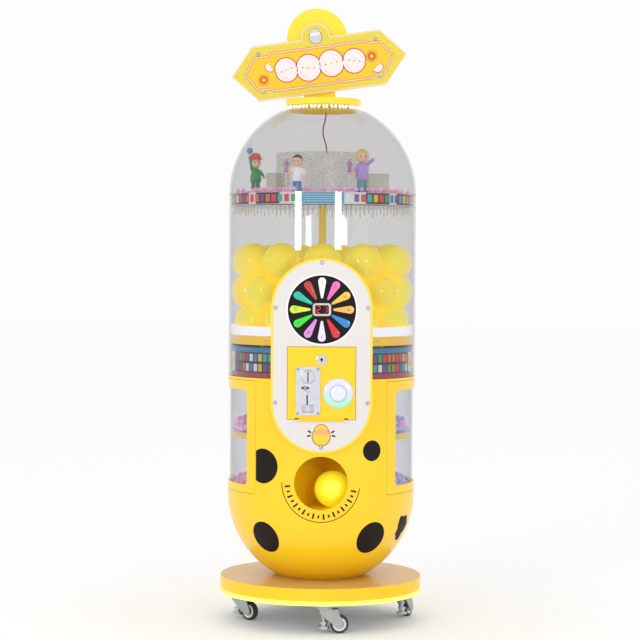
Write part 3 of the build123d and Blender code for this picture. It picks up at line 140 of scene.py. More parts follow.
def colour(chart_hex):
    """Linear RGBA of an sRGB hex colour."""
    shares = [int(chart_hex[i:i + 2], 16) / 255 for i in (0, 2, 4)]
    return (*[s / 12.92 if s <= 0.04045 else ((s + 0.055) / 1.055) ** 2.4 for s in shares], 1.0)


def add_node(material, kind, inputs=None, **settings):
    """Adds a node; an input is a plain value, or the output of another node."""
    node = material.node_tree.nodes.new(kind)
    for name, value in settings.items():
        setattr(node, name, value)
    for name, value in (inputs or {}).items():
        if isinstance(value, bpy.types.NodeSocket):
            material.node_tree.links.new(value, node.inputs[name])
        else:
            node.inputs[name].default_value = value
    return node


def start_material(name):
    """New material without nodes, and the Object coordinates that its patterns read."""
    material = bpy.data.materials.new(name)
    material.use_nodes = True
    material.node_tree.nodes.clear()
    return material, add_node(material, "ShaderNodeTexCoord").outputs["Object"]


def close_material(material, shader):
    """Links the last shader to the surface."""
    add_node(material, "ShaderNodeOutputMaterial", {"Surface": shader.outputs[0]})
    return material


def per_metre(size_mm):
    """Pattern scale that gives features of a size in millimetres."""
    return 1.0 / (size_mm * MM)


def noise(material, place, size_mm, detail=2.0):
    """Soft noise from 0 to 1 whose features have a size in millimetres."""
    return add_node(material, "ShaderNodeTexNoise", {
        "Vector": place, "Scale": per_metre(size_mm), "Detail": detail}).outputs[0]


def relief(material, place, size_mm, depth_mm, detail=2.0):
    """Normal of a fine noise relief with a given grain and depth."""
    grain = noise(material, place, size_mm, detail)
    return add_node(material, "ShaderNodeBump", {"Height": grain, "Distance": depth_mm * MM}).outputs[0]


def mixed(material, share, first, second):
    """Colour between two others, by a share from 0 to 1."""
    return add_node(material, "ShaderNodeMix", {0: share, MIX_A: first, MIX_B: second},
                    data_type="RGBA").outputs[MIX_OUT]


def drift(material, place, size_mm, first, second):
    """Colour that wanders between two chart colours over a given distance."""
    return mixed(material, noise(material, place, size_mm), colour(first), colour(second))


def maths(material, operation, *values, clamp=False):
    """Result of one sum on plain values or outputs."""
    return add_node(material, "ShaderNodeMath", dict(enumerate(values)), operation=operation,
                    use_clamp=clamp).outputs[0]


def surface(material, tint, normal, values):
    """Finished surface with a colour, a normal and plain values."""
    inputs = {"Base Color": tint, "Normal": normal, **values}
    return close_material(material, add_node(material, "ShaderNodeBsdfPrincipled", inputs))


def dress(material, *names):
    """Gives parts of the model their finish."""
    for name in names:
        for slot in nodes[name].material_slots:
            slot.material = material


# %% [markdown]
# ## Gloss paint and gloss plastic
# The steel body is powder coated and clear coated: shiny and nearly even, with a faint orange
# peel of about 3 mm. Moulded plastic has the same shine and a finer skin. Both are a base with
# a clear coat, so one recipe serves them, and only grain and colour change.

# %% Gloss finishes
def gloss_finish(name, sunny, deep, roughness=0.3, peel_mm=3.0, peel_depth_mm=0.02, coat=0.25, glow=0.0,
                 shine=0.35):
    """Coated surface whose colour wanders between two near shades."""
    material, place = start_material(name)
    tint = drift(material, place, 260, sunny, deep)
    return surface(material, tint, relief(material, place, peel_mm, peel_depth_mm), {
        "Roughness": roughness, "Coat Weight": coat, "Coat Roughness": 0.06, "Emission Color": tint,
        "Emission Strength": glow, "Specular IOR Level": shine})


body_paint = gloss_finish("powder_coated_yellow_steel", "FCD21C", "F9C814")
housing_plastic = gloss_finish("moulded_yellow_abs", "FFE038", "FDD82C", peel_mm=1.6, peel_depth_mm=0.01)
# The capsules are no lamps: their glow is a painted glow that stands in for light scattered through the
# plastic.
cup_plastic, lid_plastic = [
    gloss_finish(name, sunny, deep, roughness=0.1, peel_mm=8.0, glow=0.28, shine=0.6) for name, sunny, deep in
    (("blown_yellow_capsule_pp", "FFE928", "FFE11C"), ("clear_yellow_capsule_lid", "FBEC30", "F7E624"))]
white_abs = gloss_finish("white_abs", "F2F1F4", "E9E8EC", roughness=0.35, peel_mm=1.6, peel_depth_mm=0.01)
black_abs = gloss_finish("black_abs", "211C1E", "1A1618", roughness=0.45, peel_mm=1.6, peel_depth_mm=0.01,
                         coat=0.0, shine=0.12)
dress(body_paint, "lower_shell", "left_door", "right_door", "rear_door", "outlet_box", "service_door",
      "bin_floor")
dress(housing_plastic, "front_housing", "centre_pole", "star_rotor", "top_cap")
# The inset band is no lamp: its glow is a painted glow that brightens it where it sits inside the clear
# acrylic.
dress(gloss_finish("yellow_band_abs_painted_glow", "FFD226", "FBC61C", glow=0.22), "inset_band")
dress(gloss_finish("cast_yellow_pmma", "F8E23C", "F5DC34", roughness=0.22, peel_mm=6.0), "sign_stand")
dress(black_abs, "roulette_board", "drop_chute", "power_inlet")
dress(white_abs, "drive_pinion")

# %% [markdown]
# ## The base disc
# The disc's edge is the same paint, but its top is a painted shade: a darker tan that stands in
# for the shade of the body above it, and looks like tan leather. The recipe reads the height and
# swaps colour above the rounded rim, and a soft noise breaks the painted shade up.

# %% Base disc finish
disc_paint, place = start_material("base_disc_paint_with_painted_shade_top")
height = add_node(disc_paint, "ShaderNodeSeparateXYZ", {0: place}).outputs["Z"]
# Above the rim the top is a painted shade: darker tan in place of the shade the body above casts.
painted_shade_top = maths(disc_paint, "GREATER_THAN", height, (DISC_TOP_Z - 0.4) * MM)
tint = mixed(disc_paint, painted_shade_top, drift(disc_paint, place, 200, "FFD62E", "F8C418"),
             drift(disc_paint, place, 60, "DDB870", "D2A85C"))
surface(disc_paint, tint, relief(disc_paint, place, 3.0, 0.02), {
    "Roughness": 0.32, "Coat Weight": 0.1, "Coat Roughness": 0.08, "Specular IOR Level": 0.25})
dress(disc_paint, "base_disc")

# %% [markdown]
# ## Clear acrylic
# The bin and the dome are extruded and blown acrylic. A glass shader would bend every ray
# and take long to clear, so the wall is a transparent shader with a shine that grows
# towards grazing angles, as Schlick's curve says. The tint per face is what makes the
# inside look grey against a white room.

# %% Clear acrylic
def clear_wall(material, tint, share, shader):
    """Clear wall of a tint, where a share of the light meets another shader instead."""
    through = add_node(material, "ShaderNodeBsdfTransparent", {"Color": colour(tint)})
    wall = add_node(material, "ShaderNodeMixShader", {0: share, 1: through.outputs[0], 2: shader.outputs[0]})
    return close_material(material, wall)


def acrylic(name, tint, roughness=0.02, straight_shine=0.04):
    """See-through in the middle, mirror-like at its edges."""
    material, place = start_material(name)
    shine = add_node(material, "ShaderNodeBsdfGlossy", {
        "Roughness": roughness, "Normal": relief(material, place, 90, 0.05, detail=0.0)})
    facing = add_node(material, "ShaderNodeLayerWeight", {"Blend": 0.5}).outputs["Facing"]
    share = maths(material, "MULTIPLY_ADD", maths(material, "POWER", facing, 5.0), 1.0 - straight_shine,
                  straight_shine, clamp=True)
    return clear_wall(material, tint, share, shine)


dress(acrylic("clear_cast_acrylic", "F2F2F2"), "clear_cylinder", "clear_dome")
dress(acrylic("clear_window_pane", "F4F4F6"), "left_window", "right_window")
dress(acrylic("clear_tray_acrylic", "EDEDEE"), "display_tray")

# %% [markdown]
# ## Light diffusers
# Opal plastic glows evenly where light strips sit behind it: a warm ring under the base disc
# and a cool white rim round the bin's floor. Emission on a plain plastic shader gives both
# the glow and the surface's own shine.

# %% Light diffusers
def opal(name, tone, glow, strength):
    """Opal plastic lit from behind."""
    material, place = start_material(name)
    return surface(material, drift(material, place, 40, tone, tone), relief(material, place, 1.5, 0.01), {
        "Roughness": 0.4, "Emission Color": colour(glow), "Emission Strength": strength})


dress(opal("warm_opal_light_ring", "F8EE6A", "FFF66A", 0.55), "base_light_ring")
dress(opal("cool_opal_light_rim", "F2F2FA", "F4F4FF", 0.45), "light_rim")
bead_glow = opal("cap_light_bead", "FFF8EE", "FFFFFF", 0.6)
digit_glow = opal("red_digit_segment", "D81830", "FF1A30", 0.9)
dark_digit = gloss_finish("unlit_digit_segment", "5A1622", "4C121E", roughness=0.4)

# %% [markdown]
# ## Metals
# Plates and feet are zinc plated, forks and the coin plate are castings, and the lock and the
# screws are chromed. A metal's colour is its reflection, so the recipe sets metallic to one
# and lets grain, streaks and roughness tell them apart.

# %% Metals
SIDES = ("front", "right", "back", "left")


def metal(name, bright, dull, roughness, grain_mm, depth_mm, stretch=(1.0, 1.0, 1.0)):
    """Bare or plated metal with a grain that can be drawn out along one axis."""
    material, place = start_material(name)
    brushed = add_node(material, "ShaderNodeMapping", {"Vector": place, "Scale": stretch}).outputs[0]
    return surface(material, drift(material, place, 20, bright, dull),
                   relief(material, brushed, grain_mm, depth_mm), {"Metallic": 1.0, "Roughness": roughness})


cast_zinc = metal("die_cast_fork_alloy", "BFC1C4", "A3A5A9", 0.5, 1.2, 0.05)
plate_alloy = metal("satin_brushed_coin_plate", "DCDEE4", "C4C7CE", 0.34, 1.0, 0.004,
                    stretch=(1.0, 1.0, 0.05))
chrome = metal("polished_chrome", "E4E4E6", "CFCFD2", 0.12, 12.0, 0.005)
dress(metal("zinc_plated_steel", "D3D5D8", "B9BCC0", 0.38, 3.0, 0.01), "base_plate", "caster_plates",
      "deck_plate", "gearmotor", "cash_box", *[f"caster_foot_{side}" for side in SIDES])
dress(cast_zinc, *[f"caster_fork_{side}" for side in SIDES])
dress(plate_alloy, "coin_acceptor", "coin_reject", "coin_flap")
dress(chrome, "lock_plug", "rear_latch")

# %% [markdown]
# ## Printed panel, case lining and small plastics
# The front panel is a white printed sheet with a very fine speckle, the cases are lined with
# satin white board, and the circuit board is lacquered green. They are all matt or satin, so
# the grain matters more than the shine.

# %% Sheets and linings
def satin_sheet(name, first, second, roughness, speck_mm):
    """Satin sheet with a fine speckle in colour and in relief."""
    material, place = start_material(name)
    return surface(material, drift(material, place, speck_mm, first, second),
                   relief(material, place, speck_mm, 0.01), {"Roughness": roughness})


dress(satin_sheet("printed_white_panel", "E2DDDA", "DAD4D1", 0.36, 4.0), "front_panel")
dress(satin_sheet("white_case_lining", "E4E4E6", "DCDCDF", 0.6, 6.0), "left_case", "right_case")
dress(satin_sheet("circuit_board_lacquer", "1E6A3A", "175A30", 0.3, 8.0), "electronics")
dress(metal("silvered_display_bezel", "D8CCC8", "C4B8B4", 0.36, 3.0, 0.01), "display_module")
wire_line.materials.append(satin_sheet("woven_red_wire_sleeve", "A85A50", "8E463C", 0.6, 2.0))

# %% [markdown]
# ## Glitter
# The sign's face is a gold glitter sheet and the drum a clear wall full of silver glitter.
# Real flakes are 0.3 mm and would vanish, so they are drawn 1.6 mm wide here. A Voronoi
# pattern gives every flake its own brightness.

# %% Glitter sheet and glitter wall
SIGN_FLAKE, DRUM_FLAKE = 1.6, 2.6


def flake_luck(material, place, flake_mm):
    """Random number of each flake in a Voronoi pattern."""
    cells = add_node(material, "ShaderNodeTexVoronoi", {"Vector": place, "Scale": per_metre(flake_mm)})
    return add_node(material, "ShaderNodeSeparateColor", {0: cells.outputs["Color"]}).outputs[0]


# Glued on a sheet: random bright flakes on a coloured ground
glitter, place = start_material("gold_glitter_sheet")
bright = maths(glitter, "POWER", flake_luck(glitter, place, SIGN_FLAKE), 3.0)
surface(glitter, mixed(glitter, bright, colour("DCC832"), colour("ECDC66")),
        relief(glitter, place, SIGN_FLAKE, 0.05), {"Roughness": 0.42, "Metallic": 0.15})
dress(glitter, "sign_face")
dress(gloss_finish("frosted_peach_acrylic", "FFDCA8", "FFD08E", roughness=0.35, peel_mm=4.0), "sign_board")

# Cast in a clear wall: dense enough to veil what is behind
drum_wall, place = start_material("silver_glitter_acrylic")
is_flake = maths(drum_wall, "GREATER_THAN", flake_luck(drum_wall, place, DRUM_FLAKE), 0.82)
cover = maths(drum_wall, "MULTIPLY_ADD", is_flake, 0.6, 0.1)
silver = add_node(drum_wall, "ShaderNodeBsdfPrincipled", {
    "Base Color": colour("F4F4F2"), "Roughness": 0.3, "Metallic": 0.2,
    "Normal": relief(drum_wall, place, DRUM_FLAKE, 0.1)})
clear_wall(drum_wall, "EEEEEC", cover, silver)


# %% [markdown]
# ## Helpers for new pieces
# Round things are an outline spun about the upright axis, flat things are a face pushed out to
# a thickness, and small repeated things are stamped many times into one mesh. The last
# helper turns the drawing to metres, recalculates the outward side of every face, and lets
# the piece ride on the body it is fixed to.

# %% Helpers for new pieces
TURN = 2 * pi


def spun(outline, steps=48):
    """Spins an outline of (radius, height) points about the upright axis."""
    form = bmesh.new()
    points = [form.verts.new((r, 0, z)) for r, z in outline]
    edges = [form.edges.new(pair) for pair in zip(points, points[1:])]
    bmesh.ops.spin(form, geom=points + edges, cent=(0, 0, 0), axis=(0, 0, 1), angle=TURN, steps=steps,
                   use_merge=True)
    bmesh.ops.remove_doubles(form, verts=form.verts, dist=0.001)
    return form


def plate(outline, thickness, y=0.0):
    """Face on (x, z) points at a distance y, pushed out towards the front."""
    form = bmesh.new()
    face = form.faces.new([form.verts.new((x, y, z)) for x, z in outline])
    pushed = bmesh.ops.extrude_face_region(form, geom=[face])
    moved = [item for item in pushed["geom"] if isinstance(item, bmesh.types.BMVert)]
    bmesh.ops.translate(form, vec=(0, -thickness, 0), verts=moved)
    return form


def rounded(half_x, half_z, corner, centre=(0, 0), steps=5):
    """Outline points of a rounded rectangle."""
    points = []
    for quarter, (sx, sz) in enumerate(((1, 1), (-1, 1), (-1, -1), (1, -1))):
        for i in range(steps + 1):
            angle = pi / 2 * (quarter + i / steps)
            points.append((centre[0] + sx * (half_x - corner) + corner * cos(angle),
                           centre[1] + sz * (half_z - corner) + corner * sin(angle)))
    return points


def flat_fill(outline, thickness):
    """Thin plate of any outline, cut into triangles."""
    form = plate(outline, thickness)
    bmesh.ops.triangulate(form, faces=form.faces[:])
    return form


def bar(from_x, to_x, half_z, thickness):
    """Flat bar along X, about the middle height."""
    return plate([(from_x, -half_z), (to_x, -half_z), (to_x, half_z), (from_x, half_z)], thickness)


def circle(radius, centre=(0, 0), count=32, high=None):
    """Outline points of a circle, or of an oval when its half height is given."""
    high = high or radius
    return [(centre[0] + radius * cos(TURN * i / count), centre[1] + high * sin(TURN * i / count))
            for i in range(count)]


def arc(radius, start, stop, steps):
    """Outline points along part of a circle."""
    angles = [start + (stop - start) * i / steps for i in range(steps + 1)]
    return [(radius * cos(a), radius * sin(a)) for a in angles]


def stamp(target, source, place=Matrix.Identity(4), finish=None):
    """Adds a copy of one form to another at a place; a finish number repaints the copy."""
    mesh = bpy.data.meshes.new("stamp")
    source.to_mesh(mesh)
    mesh.transform(place)
    if finish is not None:
        mesh.polygons.foreach_set("material_index", [finish] * len(mesh.polygons))
    target.from_mesh(mesh)
    bpy.data.meshes.remove(mesh)
    return target


def lay(target, form, place=Matrix.Identity(4), finish=None):
    """Stamps a form that is needed once, and frees it."""
    stamp(target, form, place, finish)
    form.free()


def put(form, place):
    """Moves a whole form to a place."""
    bmesh.ops.transform(form, matrix=place, verts=form.verts)
    return form


def move(x, y, z):
    """Matrix that moves a form."""
    return Matrix.Translation((x, y, z))


def turn(angle, axis):
    """Matrix that turns a form by an angle in degrees."""
    return Matrix.Rotation(radians(angle), 4, axis)


face_on = turn(90, "X")   # turns a form that stands along +Z towards the front


def polar(azimuth, radius):
    """Point at an azimuth counted from the front, positive towards +X."""
    return radius * sin(radians(azimuth)), -radius * cos(radians(azimuth))


def soften(form, width, segments=2, angle=30):
    """Rounds the sharp edges of a form."""
    sharp = [e for e in form.edges if len(e.link_faces) == 2 and e.calc_face_angle(0) > radians(angle)]
    bmesh.ops.bevel(form, geom=sharp, offset=width, segments=segments, profile=0.5, affect="EDGES",
                    material=-1)
    return form


def finish_piece(name, form, body, slot, *finishes, flat=False, turned=True):
    """Makes the object: metres, outward faces, finishes, and the body it rides on."""
    if turned:
        bmesh.ops.recalc_face_normals(form, faces=form.faces)
    bmesh.ops.scale(form, vec=(MM, MM, MM), verts=form.verts)
    for face in form.faces:
        face.smooth = not flat
    for edge in form.edges:
        edge.smooth = len(edge.link_faces) != 2 or edge.calc_face_angle(0) < radians(35)
    mesh = bpy.data.meshes.new(name)
    form.to_mesh(mesh)
    form.free()
    for material in finishes:
        mesh.materials.append(material)
    piece = bpy.data.objects.new(name, mesh)
    bpy.context.collection.objects.link(piece)
    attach(piece, body)
    print(name, len(mesh.polygons), "faces on", body)
    return piece


# %% [markdown]
# ## Floor and light
# A plain pale sweep of paper and a large soft key light give even colour with gentle shade.
# Two narrow soft boxes stand left and right of the camera, because their tall white
# reflections are what tells the eye that the bin is a round clear wall.

# %% Floor, room and lights
floor_mesh = bpy.data.meshes.new("floor")
sweep = bmesh.new()
bmesh.ops.create_grid(sweep, x_segments=1, y_segments=1, size=30.0)
sweep.to_mesh(floor_mesh)
sweep.free()
floor_mesh.materials.append(satin_sheet("pale_paper", "FFFFFF", "FCFCFC", 0.9, 30.0))
floor = bpy.data.objects.new("floor", floor_mesh)
bpy.context.collection.objects.link(floor)

room = bpy.data.worlds.new("white_room")
room.use_nodes = True
white_light = room.node_tree.nodes["Background"].inputs
white_light["Color"].default_value = (1.0, 1.0, 1.0, 1.0)
white_light["Strength"].default_value = 0.98
bpy.context.scene.world = room
bpy.context.scene.view_settings.view_transform = "Standard"


def soft_box(name, place, aim, size, power):
    """Rectangular area light at a place in metres, turned to face a point."""
    lamp = bpy.data.lights.new(name, "AREA")
    lamp.shape = "RECTANGLE"
    lamp.size, lamp.size_y = size
    lamp.energy = power
    holder = bpy.data.objects.new(name, lamp)
    bpy.context.collection.objects.link(holder)
    holder.location = place
    holder.rotation_euler = (Vector(aim) - Vector(place)).to_track_quat("-Z", "Y").to_euler()


soft_box("key", (-2.6, -3.6, 2.6), (0, 0, 0.9), (2.2, 2.2), 12)
soft_box("fill", (3.2, -3.0, 1.2), (0, 0, 0.8), (1.6, 2.4), 5)
for strip, azimuth, power in (("strip_left", -29, 12), ("strip_right", 18.5, 10)):
    strip_x, strip_y = polar(azimuth, 4.0)
    soft_box(strip, (strip_x, strip_y, 1.256), (0, 0, 1.2), (0.54, 0.38), power)

# %% [markdown]
# ## Capsules
# A toy capsule is two cups of blown plastic that push together: a large yellow cup and a
# smaller, clearer lid, with a rolled seam between. The model holds plain balls, so each ball's
# centre is read from it and a proper capsule is stamped there, turned at random. Seeding
# the draw keeps every run the same.

# %% Find the ball centres
CAPSULE_R = 50.0


def ball_centres(node):
    """Centres of the separate balls in a part, in millimetres."""
    form = bmesh.new()
    form.from_mesh(nodes[node].data)
    bmesh.ops.remove_doubles(form, verts=form.verts, dist=1e-6)
    centres, seen = [], set()
    for start in form.verts:
        if start in seen:
            continue
        island, front_line = {start}, [start]
        while front_line:
            for edge in front_line.pop().link_edges:
                for vert in edge.verts:
                    if vert not in island:
                        island.add(vert)
                        front_line.append(vert)
        seen |= island
        xs, ys, zs = ([v.co[axis] / MM for v in island] for axis in range(3))
        centre = Vector(((min(a) + max(a)) / 2 for a in (xs, ys, zs)))
        if all((centre - other).length > CAPSULE_R for other in centres):
            centres.append(centre)
    form.free()
    return centres


capsule_centres = ball_centres("capsules")
print(len(capsule_centres), "capsules found")

# %% Build one capsule and stamp it
def capsule_form():
    """Yellow cup below, lid above, and a rolled seam between."""
    seam, lip, groove = 16.0, 1.6, 0.7
    rim_r = sqrt(CAPSULE_R ** 2 - seam ** 2)
    cup = [(CAPSULE_R * sin(pi * i / 15), -CAPSULE_R * cos(pi * i / 15)) for i in range(16)]
    cup = [(r, z) for r, z in cup if z < seam - 3]
    cup[0] = (0, -CAPSULE_R)
    edge = [(rim_r, seam - lip), (rim_r - groove, seam - lip + 0.2), (rim_r - groove, seam),
            (rim_r - 0.1, seam + 0.3)]
    lid = [(CAPSULE_R * sin(pi * i / 18), CAPSULE_R * cos(pi * i / 18)) for i in range(7)]
    lid = [(r, z) for r, z in reversed(lid) if z > seam + 3]
    lid[-1] = (0, CAPSULE_R)
    form = spun(cup + edge + lid, steps=36)
    for face in form.faces:
        face.material_index = int(face.calc_center_median().z > seam)
    return form


draw = random.Random(7)
one_capsule, group = capsule_form(), bmesh.new()
for centre in capsule_centres:
    tilt = turn(draw.uniform(0, 360), "Z") @ turn(draw.uniform(20, 160), "X")
    stamp(group, one_capsule, Matrix.Translation(centre) @ tilt)
bin_capsules = finish_piece("bin_capsules", group, "cabinet", "capsule_yellow", cup_plastic, lid_plastic)
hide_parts("capsules")

OUTLET_FLOOR = 4.0
rest_z = low("outlet_box").z + OUTLET_FLOOR + CAPSULE_R
dispensed = put(one_capsule, move(32, -190, rest_z) @ turn(-28, "Y") @ turn(24, "X"))
finish_piece("dispensed_capsule", dispensed, "cabinet", "capsule_yellow", cup_plastic, lid_plastic)

# %% [markdown]
# ## Silver drum
# The drum on the tray is a clear tube full of glitter with a lid. One closed skin is enough:
# light crosses it twice instead of four times, so it stays clear in a deep stack of walls.

# %% Drum
DRUM_R = high("tray_drum").x
DRUM_TOP_Z = high("tray_drum").z - 6.0    # the wire's gland stands 6 on the lid
WIRE_FOOT = (10.0, 0.0)
drum = spun([(0, TRAY_TOP_Z + 0.2), (DRUM_R - 1, TRAY_TOP_Z + 0.2), (DRUM_R, TRAY_TOP_Z + 1.2),
             (DRUM_R, DRUM_TOP_Z - 2), (DRUM_R - 2, DRUM_TOP_Z), (0, DRUM_TOP_Z)], steps=96)
gland = spun([(0, 0), (7, 0), (7, 2), (5.5, 2.6), (5.5, 5.2), (4.6, 6), (0, 6)], steps=24)
lay(drum, gland, move(*WIRE_FOOT, DRUM_TOP_Z + 0.05), finish=1)
silver_drum = finish_piece("glitter_drum", drum, "cabinet", "clear_acrylic", drum_wall, white_abs)
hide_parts("tray_drum")

# %% [markdown]
# ## Shell decals
# The black spots are vinyl cut to shape and pressed onto the round body. Each is drawn flat in
# front of the machine, pressed back onto the ball or the cylinder, given a vinyl's
# thickness, and then turned round the machine to its azimuth. A body of revolution makes
# that turn exact.

# %% Press vinyl on the shell
VINYL = 0.35
vinyl_black = gloss_finish("black_cut_vinyl", "231B1A", "1C1515", roughness=0.5, peel_mm=4.0, coat=0.0,
                           shine=0.12)


def blot(radius, z, wobble=0.0, high_share=1.0):
    """Filled disc of rings about a height, with an optional uneven outline."""
    form = spun([(radius * i / 8, 0) for i in range(9)], steps=64)
    for vert in form.verts:
        way = Vector((vert.co.x, vert.co.y))
        angle = way.angle_signed(Vector((1, 0)), 0.0) if way.length > 0 else 0.0
        waves = 0.6 * sin(3 * angle + 0.6) + 0.4 * sin(5 * angle + 2.1) + 0.25 * sin(9 * angle)
        stretch = 1 + wobble * waves
        vert.co = Vector((way.x * stretch, 0, z + way.y * stretch * high_share))
    return form


def vinyl(form, azimuth):
    """Presses a form drawn in front onto the shell, gives it a thickness and turns it to its azimuth."""
    for vert in form.verts:
        below = min(0.0, vert.co.z - SPHERE_Z)
        vert.co.y = -sqrt((BODY_R + VINYL) ** 2 - vert.co.x ** 2 - below ** 2)
    bmesh.ops.recalc_face_normals(form, faces=form.faces)
    if sum(face.normal.y * face.calc_area() for face in form.faces) > 0:
        bmesh.ops.reverse_faces(form, faces=form.faces)
    bmesh.ops.solidify(form, geom=form.faces[:], thickness=VINYL + 0.25)
    return put(form, turn(azimuth, "Z"))


left_spot = blot(47, 447)
cut = left_spot.verts[:] + left_spot.edges[:] + left_spot.faces[:]
edge_x = -BODY_R * sin(radians(5.6))      # the door's edge, 5.6 degrees beyond the spot's middle
bmesh.ops.bisect_plane(left_spot, geom=cut, plane_co=(edge_x, 0, 0), plane_no=(-1, 0, 0), clear_outer=True)
spots = bmesh.new()
for spot, azimuth in ((left_spot, -37.0), (blot(28, 491), 31.8), (blot(43, 252), -39.0),
                      (blot(44, 253), 35.0), (blot(30, 272, wobble=0.2, high_share=1.15), 65.0),
                      (blot(36, 300), 118.0), (blot(34, 262), -112.0), (blot(38, 250), 178.0)):
    lay(spots, vinyl(spot, azimuth))
finish_piece("shell_spots", spots, "cabinet", "yellow_paint", vinyl_black, turned=False)

# %% [markdown]
# ## Scale marks round the outlet
# A fine printed line runs under the outlet with a row of plain tick marks inside it, long and
# short in turn as on a dial. Each tick is a small bar drawn on a circle and pressed on like
# the spots.

# %% Outlet line and ticks
OUTLET_Z = 406.0
LINE_R = 104.0
TICK_R = 90.0
TICK_HALF_LONG, TICK_HALF_SHORT = 7.5, 4.0


def arc_band(inner, outer, start, stop, count):
    """Part of a ring about the outlet, in the upright plane."""
    form = bmesh.new()
    rows = []
    for i in range(count + 1):
        angle = radians(start + (stop - start) * i / count)
        rows.append([form.verts.new((r * cos(angle), 0, OUTLET_Z + r * sin(angle))) for r in (inner, outer)])
    for (a, b), (c, d) in zip(rows, rows[1:]):
        form.faces.new((a, b, d, c))
    return form


marks = bmesh.new()
bands = [arc_band(LINE_R, LINE_R + 1.8, 180, 352, 60)]
for i in range(19):
    middle = 186 + 160 * i / 18
    half = TICK_HALF_SHORT if i % 2 else TICK_HALF_LONG
    bands.append(arc_band(TICK_R - half, TICK_R + half, middle - 1.5, middle + 1.5, 3))
for band in bands:
    lay(marks, vinyl(band, 0))
finish_piece("outlet_marks", marks, "cabinet", "yellow_paint", vinyl_black, turned=False)

# %% [markdown]
# ## Printed film and tray band
# A printed film lines the foot of the bin: a blue stripe above, a red stripe below, and rows
# of bright tiles on a dark ground between. Tiles are real, 0.15 mm thick, because a shader
# pattern would need a map that follows the ring. The tray's band is made the same way.

# %% Film helpers
stripe_blue = satin_sheet("printed_blue_stripe", "2B93CC", "2387C0", 0.35, 10.0)
stripe_red = satin_sheet("printed_red_stripe", "C43A5E", "B83254", 0.35, 10.0)
dark_ground = satin_sheet("printed_dark_ground", "3A3334", "2E2829", 0.4, 12.0)
pale_ground = satin_sheet("printed_pale_ground", "F0EEF4", "E6E4EA", 0.4, 12.0)
sky_ground = satin_sheet("printed_sky_ground", "4FB4D8", "3AA4CC", 0.35, 10.0)
FILM_THICK = 0.12
TILE_HEXES = ("E8364A", "2F8FD6", "3CB25A", "F4C82E", "F2F2F2", "7A4A9A", "E87A2E", "2ABAB0")
tile_inks = [satin_sheet(f"tile_ink_{tint.lower()}", tint, tint, 0.35, 5.0) for tint in TILE_HEXES]


def ring_patch(radius, thickness, from_az, to_az, low_z, high_z):
    """Curved patch of film between two azimuths and two heights."""
    steps = max(1, round(abs(to_az - from_az) / 3))
    form = bmesh.new()
    x, y = polar(from_az, radius)
    post = [form.verts.new((x, y, z)) for z in (low_z, high_z)]
    wall = form.edges.new(post)
    bmesh.ops.spin(form, geom=post + [wall], cent=(0, 0, 0), axis=(0, 0, 1), angle=radians(to_az - from_az),
                   steps=steps)
    bmesh.ops.recalc_face_normals(form, faces=form.faces)
    first_az = (from_az + to_az) / 2 if steps == 1 else from_az
    if form.faces[:][0].normal.dot(Vector((*polar(first_az, 1.0), 0))) < 0:
        bmesh.ops.reverse_faces(form, faces=form.faces)
    bmesh.ops.solidify(form, geom=form.faces[:], thickness=thickness)
    return form


def tiles(target, radius, rows, azimuths, width_az, draw, finishes):
    """Rows of tiles at a list of azimuths, each tile in a drawn ink."""
    for low_z, high_z in rows:
        for azimuth in azimuths:
            patch = ring_patch(radius, FILM_THICK, azimuth, azimuth + width_az, low_z, high_z)
            lay(target, patch, finish=draw.randrange(*finishes))


# %% Film at the foot of the bin
film = bmesh.new()
POD_EDGE_AZ = 31.0
pale_blocks = [(start, start + 9.0) for start in (69.0, 110.0, 150.0, 201.0, 241.0, 282.0)]
layers = [(FILM_R - 0.3, 683.8, 768, POD_EDGE_AZ, 360 - POD_EDGE_AZ, 0),
          (FILM_R, 752.5, 764.5, POD_EDGE_AZ, 360 - POD_EDGE_AZ, 1),
          (FILM_R, 684.5, 697, POD_EDGE_AZ, 360 - POD_EDGE_AZ, 2)]
layers += [(FILM_R - 0.14, 697.5, 752, *block, 3) for block in pale_blocks]
for radius, low_z, high_z, from_az, to_az, finish in layers:
    lay(film, ring_patch(radius, FILM_THICK, from_az, to_az, low_z, high_z), finish=finish)
draw = random.Random(12)
film_azimuths = [az for az in (33.0 + 3.9 * i for i in range(76))
                 if not any(a - 3.4 < az < b for a, b in pale_blocks)]
tiles(film, FILM_R, ((701, 721), (728, 748)), film_azimuths, 2.9, draw, (4, 4 + len(tile_inks)))
finish_piece("printed_film", film, "cabinet", "band_print", dark_ground, stripe_blue, stripe_red, pale_ground,
             *tile_inks, turned=False)

# %% Balls printed on the film's pale blocks
prints = bmesh.new()
for from_az, to_az in pale_blocks:
    for radius, finish, lift in ((15.0, 1, 0.0), (13.6, 0, 0.15)):
        disc = flat_fill(circle(radius, (0, 725)), 0.1)
        for vert in disc.verts:
            vert.co.y = vert.co.y - sqrt((FILM_R + lift) ** 2 - vert.co.x ** 2)
        lay(prints, disc, turn((from_az + to_az) / 2, "Z"), finish=finish)
finish_piece("film_balls", prints, "cabinet", "band_print", tile_inks[3], tile_inks[6])

